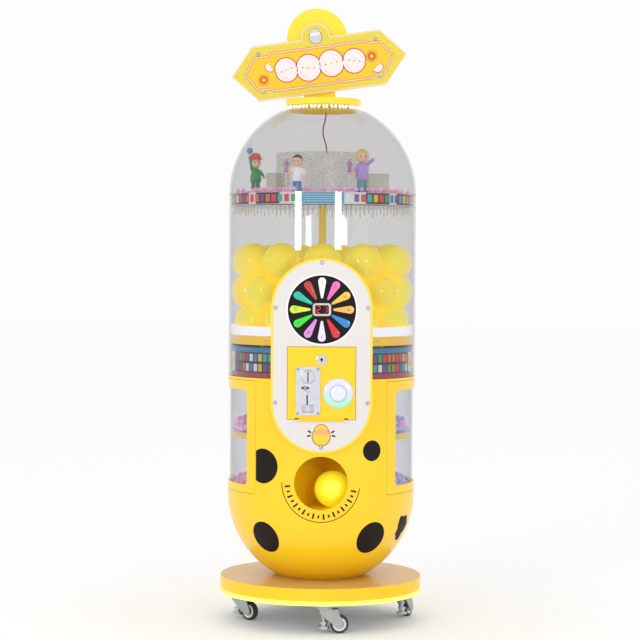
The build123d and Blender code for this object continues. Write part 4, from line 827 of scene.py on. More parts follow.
# %% Tray band
TRAY_BAND_LOW, TRAY_BAND_HIGH = low("tray_band").z, high("tray_band").z
dress(pale_ground, "tray_band")
strip = bmesh.new()
for from_az, to_az, finish in ((-13.0, 13.0, 1), (52.0, 92.0, 0), (108.0, 148.0, 0), (164.0, 204.0, 0),
                               (220.0, 252.0, 0), (268.0, 308.0, 0), (27.0, 45.0, 0), (315.0, 333.0, 0)):
    patch = ring_patch(FILM_R + 0.05, 0.1, from_az, to_az, TRAY_BAND_LOW + 1.0, TRAY_BAND_HIGH - 1.0)
    lay(strip, patch, finish=finish)
draw = random.Random(5)
tray_azimuths = [az for az in (15.0 + 4.4 * i for i in range(75)) if not 165 < az < 170]
tiles(strip, FILM_R + 0.17, ((TRAY_BAND_LOW + 6, TRAY_BAND_HIGH - 6),), tray_azimuths, 3.1, draw,
      (2, 2 + len(tile_inks)))
for line_z in (7.0, 13.0, 19.0, 25.0):
    patch = ring_patch(FILM_R + 0.17, 0.06, -12.0, 12.0, TRAY_BAND_LOW + line_z, TRAY_BAND_LOW + line_z + 1.0)
    lay(strip, patch, finish=2 + TILE_HEXES.index("F2F2F2"))
finish_piece("tray_band_print", strip, "cabinet", "band_print", dark_ground, sky_ground, *tile_inks,
             turned=False)

# %% [markdown]
# ## Roulette
# The roulette is a black board with twelve coloured lenses round a two-digit display. A lens
# is a drop: the outline of two circles and their tangents, pushed out, with its edge
# rounded so it catches the light. Plain numbers stand on the lenses, made from text.

# %% Lens colours and their outline
LENS_HEXES = ("EEF8F2", "F56CB8", "E9C24A", "F9B45C", "2A86D2", "DE2236", "E9DCF4", "D88CD6", "34DE38",
              "CFE63C", "14BEA6", "C23A30")
lens_plastics = [gloss_finish(f"lens_plastic_{tint.lower()}", tint, tint, roughness=0.25, peel_mm=4.0)
                 for tint in LENS_HEXES]
LENS_PROUD = 1.6


def drop_outline(tip_r, tip_at, head_r, head_at, steps=10):
    """Drop along +Z: a small circle, a big circle and the two tangents between them."""
    lean = pi / 2 + asin((head_r - tip_r) / (head_at - tip_at))
    tip = [(z, tip_at + x) for x, z in arc(tip_r, lean, 2 * pi - lean, steps)]
    return tip + [(z, head_at + x) for x, z in arc(head_r, -lean, lean, steps)]


# %% Lenses, ring and numbers
def text_form(words, size, depth):
    """Text as a closed form in the upright plane, its middle at the origin."""
    line = bpy.data.curves.new("number", "FONT")
    line.body = words
    line.size = size
    line.extrude = depth / 2
    line.resolution_u = 3
    line.align_x, line.align_y = "CENTER", "CENTER"
    holder = bpy.data.objects.new("number", line)
    bpy.context.collection.objects.link(holder)
    mesh = bpy.data.meshes.new_from_object(holder.evaluated_get(bpy.context.evaluated_depsgraph_get()))
    bpy.data.objects.remove(holder)
    form = bmesh.new()
    form.from_mesh(mesh)
    bmesh.ops.remove_doubles(form, verts=form.verts, dist=0.0005)
    return put(form, face_on)


lenses, numbers = bmesh.new(), bmesh.new()
for i in range(len(LENS_HEXES)):
    spoke = move(0, BOARD_Y, ROULETTE_Z) @ turn(30 * i, "Y")
    lay(lenses, soften(plate(drop_outline(3.2, 33, 10.6, 75), LENS_PROUD), 0.6), spoke, finish=i)
    lay(numbers, text_form(str(i + 1), 12.0, 0.3), spoke @ move(0, -LENS_PROUD - 0.1, 70))
finish_piece("roulette_lenses", lenses, "cabinet", "black_plastic", *lens_plastics)
finish_piece("roulette_numbers", numbers, "cabinet", "black_plastic",
             satin_sheet("grey_number_ink", "6E6A74", "605C66", 0.5, 3.0))

# %% White ring round the board
RING_R = (high("roulette_board").x - 5.0) + 0.2
white_ring = spun([(RING_R, 0), (RING_R + 4.2, 0), (RING_R + 4.2, 0.8), (RING_R + 3.8, 1.2), (RING_R, 1.2),
                   (RING_R, 0)], steps=96)
put(white_ring, move(0, PANEL_Y, ROULETTE_Z) @ face_on)
finish_piece("roulette_ring", white_ring, "cabinet", "white_panel",
             satin_sheet("white_vinyl", "FFFFFF", "FAFAFA", 0.4, 5.0))

# %% [markdown]
# ## Digits
# The display shows two seven-segment digits under a dark red window. The segments are small
# six-sided bars. The ones that are lit glow and the others stay a dim red, so both numbers
# can be read and the unlit eight shows behind them.

# %% Display digits
DISPLAY_FLOOR_Y = BOARD_Y - 3.5
SEGMENTS = {"a": (0, 1, 0), "b": (1, 0.5, 90), "c": (1, -0.5, 90), "d": (0, -1, 0), "e": (-1, -0.5, 90),
            "f": (-1, 0.5, 90), "g": (0, 0, 0)}
DIGITS = {"2": "abged", "1": "bc"}
display = bmesh.new()
lay(display, plate(rounded(18.0, 11.5, 3.0, (0, ROULETTE_Z)), 0.5, DISPLAY_FLOOR_Y), finish=2)
half_wide, half_high, bar_long, bar_half = 4.2, 8.6, 6.4, 0.9
for digit, middle_x in (("2", -9.0), ("1", 9.0)):
    for name, (across, up, angle) in SEGMENTS.items():
        half = bar_long / 2 if angle == 0 else bar_long / 2 + 0.6
        segment = plate([(-half, 0), (-half + bar_half, bar_half), (half - bar_half, bar_half), (half, 0),
                         (half - bar_half, -bar_half), (-half + bar_half, -bar_half)], 0.4)
        place = move(middle_x + across * half_wide, DISPLAY_FLOOR_Y - 0.5, ROULETTE_Z + up * half_high)
        lay(display, segment, place @ turn(angle, "Y"), finish=0 if name in DIGITS[digit] else 1)
finish_piece("display_digits", display, "cabinet", "silver_plastic", digit_glow, dark_digit, black_abs)

# %% [markdown]
# ## Screws
# Panel and sign are held by pan-head machine screws. A screw is an outline spun into a low
# dome with a cross pressed into it. The cross is a dark plus sunk below the dome's top,
# which reads as a recess at this size, and a thin dark ring is the gap round the head.

# %% Screw pattern
recess_dark = satin_sheet("screw_recess_shade", "2A2828", "1E1C1C", 0.7, 2.0)
PANEL_SCREWS = ((0, 996), (0, 503), (-123, 875), (123, 875), (-123, 622), (123, 622))


def screw_form(head_r, high_mm):
    """Pan head along +Z with a cross recess; finish 0 is metal and 1 is the dark recess."""
    form = bmesh.new()
    dome = spun([(0, high_mm), (head_r * 0.45, high_mm * 0.97), (head_r * 0.8, high_mm * 0.75),
                 (head_r, high_mm * 0.3), (head_r, 0), (0, 0)], steps=24)
    gap = spun([(head_r, 0), (head_r + 0.9, 0), (head_r + 0.9, 0.15), (head_r, 0.15), (head_r, 0)], steps=24)
    lay(form, dome, finish=0)
    lay(form, gap, finish=1)
    for angle in (0, 90):
        lay(form, bar(-head_r * 0.5, head_r * 0.5, 0.55, 0.7),
            move(0, 0, high_mm - 0.55) @ turn(-90, "X") @ turn(angle + 20, "Y"), finish=1)
    return form


cover_screws = bmesh.new()
for x, z in PANEL_SCREWS:
    lay(cover_screws, screw_form(4.5, 2.4), move(x, PANEL_Y, z) @ face_on @ turn(x * 3 + z, "Z"))
SIGN_CENTRE = Vector((-12, SIGN_Y, 1544))
SIGN_TILT = 8.0
sign_place = Matrix.Translation(SIGN_CENTRE) @ turn(-SIGN_TILT, "Y")
for x in (-164, 164):
    for z in (-52, 52):
        lay(cover_screws, screw_form(4.5, 2.4), sign_place @ move(x, 0, z) @ face_on @ turn(x + z, "Z"))
cross_screws = finish_piece("cross_head_screws", cover_screws, "cabinet", "polished_screw", chrome,
                            recess_dark)
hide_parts("cover_screws")

# %% Screws in the inset band
band_screws = bmesh.new()
BAND_SCREW_R, BAND_SCREW_Z = high("inset_band").x - 0.9, 784.5
for azimuth in (-36, 36, 90, 150, -150, -90):
    place = move(*polar(azimuth, BAND_SCREW_R), BAND_SCREW_Z) @ turn(azimuth, "Z") @ face_on
    lay(band_screws, screw_form(3.6, 1.6), place)
finish_piece("band_screws", band_screws, "cabinet", "polished_screw", chrome, recess_dark)

# %% [markdown]
# ## Coin acceptor details
# A standard coin plate carries four screws, a dished boss round its slot and a small badge,
# which is a plain oval here. These ride on the service door, because the plate is bolted to
# it. The slot's shade rides on the reject knob and the ribs on the return flap, since both of
# those move.

# %% Coin plate
COIN_X, COIN_Z = -36.0, 653.5
PLATE_Y = low("coin_acceptor").y
SLOT_Z = 692.0
CUP_Z = 607.0
BADGE_Z = 662.0
coin_marks = bmesh.new()
for x in (-27, 27):
    for z in (-59, 59):
        lay(coin_marks, screw_form(2.6, 1.3), move(COIN_X + x, PLATE_Y, COIN_Z + z) @ face_on)
boss = spun([(17.0, 0), (20.5, 0), (20.5, 1.4), (18.6, 2.2), (17.0, 1.6), (17.0, 0)], steps=48)
lay(coin_marks, boss, move(COIN_X, PLATE_Y, SLOT_Z) @ face_on, finish=0)
badge = soften(plate(circle(11, count=28, high=4.2), 0.5), 0.15)
lay(coin_marks, badge, move(COIN_X - 7, PLATE_Y, BADGE_Z), finish=1)
lay(coin_marks, plate(circle(5, count=20, high=1.6), 0.3), move(COIN_X - 7, PLATE_Y - 0.5, BADGE_Z), finish=0)
for start, stop in (((-8, 656), (3, 646)), ((1, 655), (8, 650))):
    run_x, run_z = stop[0] - start[0], stop[1] - start[1]
    slope = -(Vector((run_x, run_z)).angle_signed(Vector((1, 0))))
    place = move(COIN_X + start[0], PLATE_Y, start[1]) @ Matrix.Rotation(slope, 4, "Y")
    lay(coin_marks, bar(0, sqrt(run_x ** 2 + run_z ** 2), 0.5, 0.3), place, finish=1)
lay(coin_marks, bar(-1.9, 1.9, 13.2, 0.4), move(COIN_X - 2, PLATE_Y + 0.2, CUP_Z + 23), finish=1)
finish_piece("coin_plate_details", coin_marks, "service_door", "satin_alloy", plate_alloy, recess_dark)

slot_shade = put(bar(-1.5, 1.5, 13.8, 0.4), move(COIN_X, low("coin_reject").y + 0.2, SLOT_Z))
finish_piece("coin_slot_shade", slot_shade, "coin_reject", "satin_alloy", recess_dark)

flap_ribs = bmesh.new()
for x in range(-14, 15, 2):
    lay(flap_ribs, bar(-0.45, 0.45, 9, 0.9), move(COIN_X + x, low("coin_flap").y + 0.3, CUP_Z),
        finish=0 if abs(x + 1) < 4 else 1)
finish_piece("coin_flap_ribs", flap_ribs, "coin_flap", "satin_alloy", plate_alloy, cast_zinc)

# %% [markdown]
# ## Start button
# The button is a lit dome in a wide opal collar. Its plastic shades from lilac at the top to
# mint at the bottom, as two coloured lamps behind it do. The collar is spun and the dome is
# crowned. The dome rides on its own body, since it is pressed.

# %% Opal button plastic
BUTTON_X, BUTTON_Z = 44.5, 648.0
BUTTON_R = 22.4
COLLAR_R = 40.0


def button_opal(name, upper, lower, glow):
    """Lit opal plastic whose colour changes from top to bottom."""
    material, place = start_material(name)
    height = add_node(material, "ShaderNodeSeparateXYZ", {0: place}).outputs["Z"]
    share = add_node(material, "ShaderNodeMapRange", {
        0: height, 1: (BUTTON_Z - COLLAR_R) * MM, 2: (BUTTON_Z + COLLAR_R * 0.5) * MM}).outputs[0]
    tint = mixed(material, share, colour(lower), colour(upper))
    return surface(material, tint, relief(material, place, 12.0, 0.02), {
        "Roughness": 0.18, "Coat Weight": 0.6, "Emission Color": tint, "Emission Strength": glow,
        "Specular IOR Level": 0.4})


collar_opal = button_opal("opal_button_collar", "DAD8F2", "9FE6C2", 0.04)
dome_opal = button_opal("opal_button_dome", "DCDCF6", "CAD8F0", 0.08)
collar = spun([(COLLAR_R + 0.9, 0.3), (COLLAR_R + 0.3, 2.0), (COLLAR_R - 1.8, 5.2), (COLLAR_R - 5, 6.4),
               (COLLAR_R - 11, 7.2), (BUTTON_R + 3, 7.4), (BUTTON_R + 1.2, 7.0), (BUTTON_R + 0.5, 6.0),
               (BUTTON_R + 0.5, 5.1), (COLLAR_R - 2.8, 5.1), (COLLAR_R + 0.15, 0.3), (COLLAR_R + 0.9, 0.3)],
              steps=72)
put(collar, move(BUTTON_X, DOOR_Y, BUTTON_Z) @ face_on)
finish_piece("button_collar", collar, "service_door", "white_diffuser", collar_opal)
crown_y = low("push_button").y
BUTTON_LONG = high("push_button").y - crown_y
crown = spun([(0, BUTTON_LONG)] + [(BUTTON_R * sin(a), BUTTON_LONG - 7 + 7 * cos(a)) for a in
             [pi / 2 * i / 10 for i in range(1, 11)]] + [(BUTTON_R, 0), (0, 0)], steps=64)
put(crown, move(BUTTON_X, crown_y + BUTTON_LONG, BUTTON_Z) @ face_on)
button_dome = finish_piece("button_dome", crown, "push_button", "white_diffuser", dome_opal)
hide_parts("push_button")

# %% Keyhole and lock collar
LOCK_Z = 737.0
rim = spun([(12.6, 0), (15.2, 0), (14.6, 1.6), (12.6, 2.2), (12.6, 0)], steps=40)
put(rim, move(0, DOOR_Y, LOCK_Z) @ face_on)
finish_piece("lock_collar", rim, "service_door", "chrome_lock", chrome)
key_y = low("lock_plug").y + 0.05
key_slot = plate(rounded(1.3, 5.2, 0.8, (0, LOCK_Z)), 0.25, key_y)
round_eye = spun([(0, 0), (3.6, 0), (3.6, 0.25), (0, 0.25)], steps=20)
lay(key_slot, round_eye, move(0, key_y, LOCK_Z + 1) @ face_on)
finish_piece("keyhole", key_slot, "lock_plug", "chrome_lock", recess_dark)

# %% [markdown]
# ## Capsule emblem on the panel
# A plain picture of an open capsule marks the foot of the panel: a round cup, a smaller lid
# lifted off it, a wavy pink edge between and four dashes. It is flat vinyl, so each colour is
# a thin plate laid a little above the last.

# %% Emblem
EMBLEM_Z = 530.0
emblem_inks = [satin_sheet("emblem_outline_ink", "7A4C18", "6E4412", 0.5, 3.0),
               satin_sheet("emblem_yellow_ink", "F9CE3A", "F4C22C", 0.45, 8.0),
               satin_sheet("emblem_pink_ink", "F4A890", "EE9C84", 0.5, 5.0)]


def capsule_emblem(scale, inks_from=0):
    """Open capsule drawn as thin plates about the origin; finishes are outline, fill and edge."""
    form = bmesh.new()
    layers = [(circle(25.4, (0, -5), 40), 0.3, 0), (circle(23.3, (0, -5), 40), 0.45, 1),
              (circle(20.0, (0, 9), 40, 19.4)[:21], 0.5, 0), (circle(18.4, (0, 9.6), 40, 17.4)[:21], 0.65, 1)]
    zigzag = [(-18.5 + 37 * i / 10, 12 + (2.6 if i % 2 else -1.6)) for i in range(11)]
    zigzag += [(18.5 - 37 * i / 10, 2 + (2.4 if i % 2 else -2.4)) for i in range(11)]
    layers.append((zigzag, 0.8, 2))
    for outline, thick, finish in layers:
        lay(form, flat_fill(outline, thick), Matrix.Scale(scale, 4), finish=inks_from + finish)
    return form


emblem = bmesh.new()
lay(emblem, capsule_emblem(1.0), move(0, PANEL_Y, EMBLEM_Z + 7))
for x, z, angle in ((-31, 15, -55), (-33, 4, -100), (31, 15, 55), (33, 4, 100)):
    dash = soften(plate(rounded(2.1, 5.0, 1.6), 0.3), 0.08)
    lay(emblem, dash, move(x, PANEL_Y, EMBLEM_Z + z) @ turn(angle, "Y"), finish=3)
finish_piece("panel_emblem", emblem, "cabinet", "white_panel", *emblem_inks, black_abs)

# %% [markdown]
# ## Sign print
# The sign's face is glitter sheet with a printed frame: a pink line between two orange ones,
# with small V notches above and below. In place of lettering it carries a row of plain
# capsule shapes. Every colour is a thin plate with its own thickness, laid like cut vinyl.

# %% Sign print helpers
sign_inks = [satin_sheet("sign_orange_ink", "D8682A", "CE5C20", 0.45, 6.0),
             satin_sheet("sign_pink_ink", "FBD8CC", "F6CCBE", 0.45, 6.0),
             satin_sheet("sign_golden_ink", "EECA20", "E9C018", 0.4, 9.0),
             satin_sheet("sign_white_ink", "F6EEF0", "EAD8DC", 0.4, 14.0),
             satin_sheet("sign_grey_ink", "74767C", "6C6E74", 0.45, 5.0),
             satin_sheet("sign_silver_ink", "D0D3D6", "C2C6CA", 0.35, 7.0)]
SIGN_ORANGE, SIGN_PINK, SIGN_GOLD, SIGN_WHITE, SIGN_GREY = range(5)
FRAME_LINE = [(-206, 0), (-177, 43), (-138, 43), (-128, 50), (-41, 50), (-34, 43), (-27, 50), (38, 50),
              (45, 43), (52, 50), (134, 50), (144, 43), (174, 43), (206, 0), (175, -47), (147, -47),
              (137, -54), (54, -54), (47, -47), (40, -54), (-28, -54), (-35, -47), (-42, -54),
              (-132, -54), (-140, -47), (-177, -47)]


def stroke(line, width, thickness, closed=True):
    """Line of a width drawn through points, as thin plates with round joints."""
    form = bmesh.new()
    pairs = list(zip(line, line[1:] + line[:1])) if closed else list(zip(line, line[1:]))
    for (ax, az), (bx, bz) in pairs:
        long_mm = sqrt((bx - ax) ** 2 + (bz - az) ** 2)
        lay(form, bar(0, long_mm, width / 2, thickness),
            move(ax, 0, az) @ Matrix.Rotation(-atan2(bz - az, bx - ax), 4, "Y"))
    for x, z in line:
        lay(form, plate(circle(width / 2, (x, z), 10), 0.9 * thickness))
    return form


def half_capsule(radius, opening):
    """Outline of a half round cup, open upwards, with a toothed lip."""
    teeth = [(radius - 2 * radius * i / 8, opening * (1 if i % 2 else 0)) for i in range(1, 8)]
    return arc(radius, pi, TURN, 14) + teeth


# %% Sign frame and capsule row
sign_print = bmesh.new()
lay(sign_print, flat_fill([(x * 0.985, z * 0.97) for x, z in FRAME_LINE], 0.25), finish=SIGN_GOLD)
for width, thick, ink in ((6.4, 0.4, SIGN_ORANGE), (3.4, 0.55, SIGN_PINK)):
    lay(sign_print, stroke(FRAME_LINE, width, thick), finish=ink)
for x, z, size in ((-158, -20, 1.0), (148, 6, 1.05)):
    for outer_r, inner_r in ((15.5, 14.0), (11.5, 5.0)):
        ring = spun([(inner_r, 0), (outer_r, 0), (outer_r, 0.4), (inner_r, 0.4), (inner_r, 0)], steps=36)
        lay(sign_print, ring, move(x, 0, z) @ face_on @ Matrix.Scale(size, 4), finish=SIGN_ORANGE)
for x, z, radius, lean in ((-92, 0, 30, -14), (-30, -2, 33, 10), (34, 2, 33, -8), (98, 0, 30, 14)):
    for side, lift, layer in ((0, 3.5, 0.0), (180, 2.0, 0.1)):
        place = move(x, 0, z) @ turn(lean + side, "Y") @ move(0, 0, -lift)
        for grow, thick, ink in ((3.2, 0.6, SIGN_ORANGE), (0, 0.9, SIGN_WHITE)):
            lay(sign_print, flat_fill(half_capsule(radius + grow, 5.0), thick + layer), place, finish=ink)
        shine = stroke(arc(radius * 0.72, pi * 1.12, pi * 1.42, 5), 3.0, 1.15, closed=False)
        lay(sign_print, shine, place, finish=SIGN_PINK)
for x, z, radius, lean in ((-136, 14, 13, 60), (160, -26, 14, -30)):
    for grow, thick, ink in ((2.0, 0.7, SIGN_ORANGE), (0, 0.95, SIGN_WHITE)):
        cup = flat_fill(half_capsule(radius + grow, 3.0), thick)
        lay(sign_print, cup, move(x, 0, z) @ turn(lean, "Y"), finish=ink)
lay(sign_print, capsule_emblem(0.74, inks_from=SIGN_GREY), move(0, 0, 82))
put(sign_print, sign_place)
finish_piece("sign_print", sign_print, "cabinet", "gold_glitter", *sign_inks, sign_inks[SIGN_WHITE])

# %% [markdown]
# ## Caster wheels
# A levelling caster's wheel is a dark nylon tyre on a white rim with a grey pressed cover.
# The outline is spun about the axle. Wheels roll on their own bodies, so each one is made at
# its axle, from the centre of the wheel in the model.

# %% Wheels
tyre_dark = satin_sheet("dark_nylon_tyre", "3A3638", "302C2E", 0.55, 3.0)
hub_grey = metal("pressed_hub_cover", "B8BABD", "9C9EA2", 0.42, 4.0, 0.01)
caster_screws = bmesh.new()
wheel_form = bmesh.new()
for outline, steps, finish in (
        ([(18.5, -8.4), (23.4, -8.8), (24.9, -7.0), (24.9, 7.0), (23.4, 8.8), (18.5, 8.4), (18.5, -8.4)],
         40, 0),
        ([(12.5, -7.6), (18.6, -8.2), (18.6, 8.2), (12.5, 7.6), (12.5, -7.6)], 40, 1),
        ([(4.3, -6.8), (12.6, -6.4), (12.6, 6.4), (4.3, 6.8), (4.3, -6.8)], 32, 2)):
    lay(wheel_form, spun(outline, steps), finish=finish)
for i in range(6):
    for z in (-6.65, 6.65):
        hole = spun([(0, -0.1), (1.5, -0.1), (1.5, 0.1), (0, 0.1)], 12)
        lay(wheel_form, hole, move(*polar(60 * i, 8.6), z), finish=0)
for side, heading in zip(SIDES, (0, 68, 200, -37)):
    wheel_node = f"caster_wheel_{side}"
    axle = (low(wheel_node) + high(wheel_node)) / 2
    one_wheel = put(wheel_form.copy(), Matrix.Translation(axle) @ turn(heading, "Z") @ face_on)
    tyre = finish_piece(f"rolling_wheel_{side}", one_wheel, f"wheel_{side}", "black_plastic", tyre_dark,
                        white_abs, hub_grey)
    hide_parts(wheel_node)
    foot_node = f"caster_foot_{side}"
    spot = (low(foot_node) + high(foot_node)) / 2
    for bolt_x in (-26, 26):
        for bolt_y in (-26, 26):
            place = move(spot.x + bolt_x, spot.y + bolt_y, low("caster_plates").z) @ turn(180, "X")
            lay(caster_screws, screw_form(4.0, 2.0), place)
wheel_form.free()
finish_piece("caster_plate_bolts", caster_screws, "cabinet", "polished_screw", chrome, recess_dark)

# %% [markdown]
# ## Crystals
# Clear coloured crystals lie on the tray and in the cases. Each is a twenty-faced stone, flat
# shaded so that its facets sparkle. Hundreds are drawn with a seeded generator, in layers
# that get thinner towards the top of a heap.

# %% Crystal plastics
CRYSTAL_HEXES = ("FF9CC8", "F4B8E0", "D8B4F4", "B8C8FA", "A8E0F4", "FFD0DC")
# The crystals are no lamps: their glow is a painted glow for light caught in the clear stones.
crystal_plastics = [gloss_finish(f"crystal_{tint.lower()}", tint, tint, roughness=0.08, peel_mm=20.0,
                                 glow=0.12) for tint in CRYSTAL_HEXES]


def heap(target, spots, draw, inks, size=(5.5, 8.5)):
    """Stamps one stone at each spot with a random size, turn and colour."""
    stone = bmesh.new()
    bmesh.ops.create_icosphere(stone, subdivisions=1, radius=1.0)
    for x, y, z in spots:
        place = (move(x, y, z) @ turn(draw.uniform(0, 360), "Z") @ turn(draw.uniform(0, 180), "X")
                 @ Matrix.Scale(draw.uniform(*size), 4))
        stamp(target, stone, place, finish=draw.choice(inks))
    stone.free()


CASE_WALL_R = high("right_case").x - 1.0
CASE_FLOORS = (380.0, 531.0)   # tops of the floor and of the middle shelf


def case_spots(side, floor_z, high_mm, draw):
    """Spots over a case's floor, between its back wall and the round window."""
    spots = []
    for layer in range(int(high_mm / 10)):   # a layer is 10 high
        for i in range(13):
            for j in range(27):
                x = 104 + 12.5 * i + draw.uniform(-3, 3)
                y = -158 + 12.2 * j + draw.uniform(-3, 3)
                if sqrt(x * x + y * y) < CASE_WALL_R - 10 and draw.random() > 0.18 * layer:
                    spots.append((side * x, y, floor_z + 7.5 + 10 * layer + draw.uniform(-1.5, 1.5)))
    return spots


draw = random.Random(31)
PINKS, BLUES = (0, 1, 2, 5, 1), (2, 3, 4, 3, 1)
for case_name, side, inks in (("left", -1, PINKS), ("right", 1, BLUES)):
    stones = bmesh.new()
    for floor_z, high_mm in zip(CASE_FLOORS, (22.0, 34.0)):
        heap(stones, case_spots(side, floor_z, high_mm, draw), draw, inks)
    finish_piece(f"{case_name}_case_crystals", stones, "cabinet", "case_white", *crystal_plastics, flat=True)

stones = bmesh.new()
tray_spots = []
for azimuth in range(0, 360, 3):
    for ring_r in (168, 182, 196, 210, 224, 238):
        for layer in range(4):
            if draw.random() > 0.12 + 0.2 * layer:
                x, y = polar(azimuth + draw.uniform(-1, 1), ring_r + draw.uniform(-3, 3))
                tray_spots.append((x, y, TRAY_TOP_Z + 7 + 10.5 * layer))
heap(stones, tray_spots, draw, PINKS, size=(4.5, 7.0))
finish_piece("tray_crystals", stones, "cabinet", "clear_acrylic", *crystal_plastics, flat=True)

# %% [markdown]
# ## Peg figures
# Small painted peg dolls stand among the crystals. Each is the same kit of turned pieces: two
# legs, a body, two arms, a ball head and a cap of hair or a hat. Only its paints and the
# pose of the arms change.

# %% Peg figure kit
PEG_HEXES = ("F6CBA8", "E0342E", "2E9A4C", "2A6FC4", "3A2A26", "F2C84A", "B89AE0", "2A9A96", "F4F4F4",
             "F07AA8")
SKIN, RED, GREEN, BLUE, DARK, BLOND, LILAC, TEAL, WHITE, ROSE = range(10)
peg_paints = [gloss_finish(f"peg_paint_{tint.lower()}", tint, tint, roughness=0.35, peel_mm=6.0)
              for tint in PEG_HEXES]


def rod(start, stop, radius, steps=12):
    """Round rod between two points."""
    way = Vector(stop) - Vector(start)
    form = spun([(0, 0), (radius, 0), (radius * 0.85, way.length), (0, way.length)], steps)
    return put(form, Matrix.Translation(start) @ way.to_track_quat("Z", "Y").to_matrix().to_4x4())


def ball(centre, radius, squash=1.0):
    """Ball of a few faces."""
    form = bmesh.new()
    bmesh.ops.create_uvsphere(form, u_segments=16, v_segments=10, radius=radius)
    return put(form, move(*centre) @ Matrix.Diagonal((1, 1, squash, 1)))


def peg_figure(target, spot, tall, facing, top, trousers, hair, hat=None, left_hand=(-20, -4, 44),
               right_hand=(20, -4, 44), toy=None, pack=None):
    """Peg doll drawn 100 tall, then scaled, turned and stamped at a spot."""
    doll = [(rod((x, 0, 4), (x * 0.8, 0, 36), 5.6), trousers) for x in (-6.5, 6.5)]
    doll += [(ball((x, -3, 4), 6.0, 0.7), DARK) for x in (-7.0, 7.0)]
    doll += [(spun([(0, 30), (11, 30), (13.5, 36), (12, 50), (8.5, 63), (4, 66), (0, 66)], 20), top)]
    doll += [(ball((0, 0, 78), 13.0), SKIN), (ball((0, 2.5, 81), 13.4), hair)]
    doll += [(ball((x, -12.2, 78), 1.5), DARK) for x in (-4.6, 4.6)]
    for shoulder, hand in (((-9, 0, 60), left_hand), ((9, 0, 60), right_hand)):
        doll += [(rod(shoulder, hand, 3.8), top), (ball(hand, 4.2), SKIN)]
    if hat is not None:
        doll += [(spun([(0, 86), (18, 86), (18, 88), (12.5, 89.5), (11.5, 97), (7, 101), (0, 102)], 24), hat)]
    if toy is not None:
        doll += [(ball((left_hand[0], left_hand[1], left_hand[2] + 10), 8.0), toy)]
    if pack is not None:
        doll += [(ball((0, 12, 52), 11.0, 1.25), pack)]
    place = Matrix.Translation(spot) @ turn(facing, "Z") @ Matrix.Scale(tall / 100, 4)
    for form, paint in doll:
        lay(target, form, place, finish=paint)


# %% Figures on the tray and in the cases
PODIUM_HIGH = 26.0
figures = bmesh.new()
for x, y, radius in ((-186, -45, 26), (-69, -205, 24), (106, -188, 26)):
    podium = spun([(0, 0), (radius, 0), (radius, PODIUM_HIGH - 1), (radius - 1, PODIUM_HIGH),
                   (0, PODIUM_HIGH)], 32)
    lay(figures, podium, move(x, y, TRAY_TOP_Z + 0.2), finish=GREEN)
FEET_Z = TRAY_TOP_Z + PODIUM_HIGH
peg_figure(figures, (-186, -45, FEET_Z), 116, 15, GREEN, GREEN, RED, hat=RED, left_hand=(-17, -8, 96),
           toy=BLUE)
peg_figure(figures, (-69, -205, FEET_Z), 112, -10, WHITE, BLUE, DARK, left_hand=(-16, -12, 52), pack=RED)
peg_figure(figures, (106, -188, FEET_Z), 130, 10, LILAC, TEAL, BLOND, right_hand=(24, -8, 74))
for x, y in ((-99, -150), (72, -160)):
    lay(figures, rod((x, y, TRAY_TOP_Z), (x, y, FEET_Z + 62), 2.0), finish=WHITE)
    peg_figure(figures, (x, y, FEET_Z + 60), 46, 0, LILAC, ROSE, WHITE)
finish_piece("tray_figures", figures, "cabinet", "clear_acrylic", *peg_paints)
figures = bmesh.new()
for side in (-1, 1):
    for level_z, spots in ((CASE_FLOORS[1] + 26, ((-110, BLUE, ROSE), (-30, ROSE, BLUE), (60, TEAL, LILAC))),
                           (CASE_FLOORS[0] + 16, ((-80, LILAC, WHITE), (10, RED, BLUE), (90, GREEN, ROSE)))):
        for y, top, trousers in spots:
            peg_figure(figures, (side * 176, y * 0.9, level_z), 74, 90 * side, top, trousers,
                       BLOND if y > 0 else DARK)
finish_piece("case_figures", figures, "cabinet", "case_white", *peg_paints)

# %% [markdown]
# ## Beads
# A row of lit beads runs round the hole of the dome under the cap, and short strings of clear
# beads hang under the tray's band. A bead is a small stone too, with a few faces, because it
# is repeated hundreds of times.

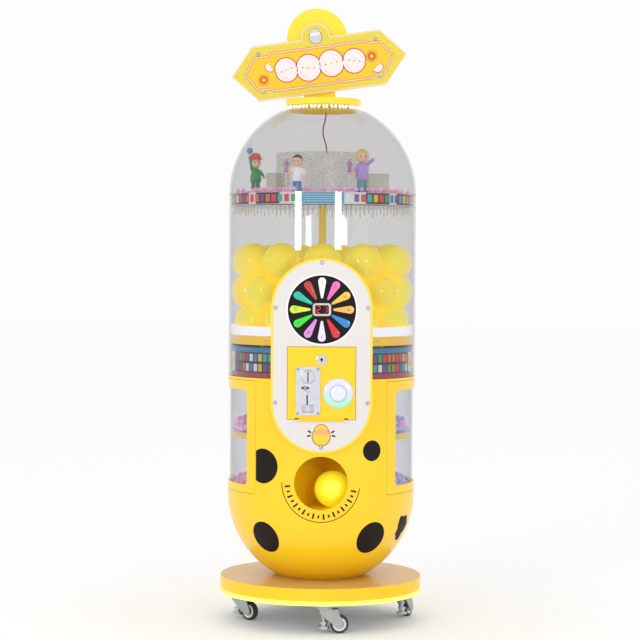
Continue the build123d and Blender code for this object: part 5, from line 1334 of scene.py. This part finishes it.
# %% Bead rings
dome_centre_z = low("clear_dome").z
bead, lights = bmesh.new(), bmesh.new()
bmesh.ops.create_icosphere(bead, subdivisions=2, radius=3.4)
for ring_r, count, lift in ((108.0, 60, 4.0), (115.0, 64, 4.0)):
    for i in range(count):
        x, y = polar(360 * (i + draw.uniform(-0.2, 0.2)) / count, ring_r)
        stamp(lights, bead, move(x, y, dome_centre_z + sqrt(BODY_R ** 2 - ring_r ** 2) + lift - 0.4))
finish_piece("cap_lights", lights, "cabinet", "white_diffuser", bead_glow)
bead.free()
bead, fringe = bmesh.new(), bmesh.new()
bmesh.ops.create_icosphere(bead, subdivisions=1, radius=2.6)
for i in range(110):
    x, y = polar(360 * i / 110, 247.0)
    for k in range(2 + i % 3):
        stamp(fringe, bead, move(x, y, TRAY_BAND_LOW - 6 - 5.4 * k))
bead.free()
finish_piece("bead_fringe", fringe, "cabinet", "clear_acrylic",
             gloss_finish("clear_fringe_bead", "EDEDF2", "E2E2E8", roughness=0.1, peel_mm=10.0))

# %% [markdown]
# ## Shelf edges and backing cards
# The middle shelf of each case has a yellow edging strip, bent round like the window in front
# of it. Two frosted cards stand on the tray beside the drum as a background to the figures.

# %% Shelf edges and backing cards
EDGING_LOW, EDGING_HIGH = CASE_FLOORS[1] - 17.0, CASE_FLOORS[1] - 2.0
edging = bmesh.new()
for middle_az in (-90, 90):
    lay(edging, ring_patch(CASE_WALL_R + 1.7, 0.5, middle_az - 42, middle_az + 42, EDGING_LOW, EDGING_HIGH))
finish_piece("shelf_edging", edging, "cabinet", "case_white", housing_plastic, turned=False)
cards = bmesh.new()
for middle_x in (-125, 152):
    lay(cards, soften(plate(rounded(32, 45, 4, (middle_x, TRAY_TOP_Z + 45)), 2.0, -20), 0.4))
finish_piece("backing_cards", cards, "cabinet", "clear_acrylic",
             acrylic("frosted_pale_card", "E6E9DA", 0.4, 0.3))

# %% [markdown]
# ## Undressed parts
# Every part should have a finish by now. The list of plain parts must print empty.

# %% Last finishes
print("plain parts:", [
    name for name, node in nodes.items() if not node.hide_render
    and any(slot.material is None or not slot.material.use_nodes for slot in node.material_slots)])
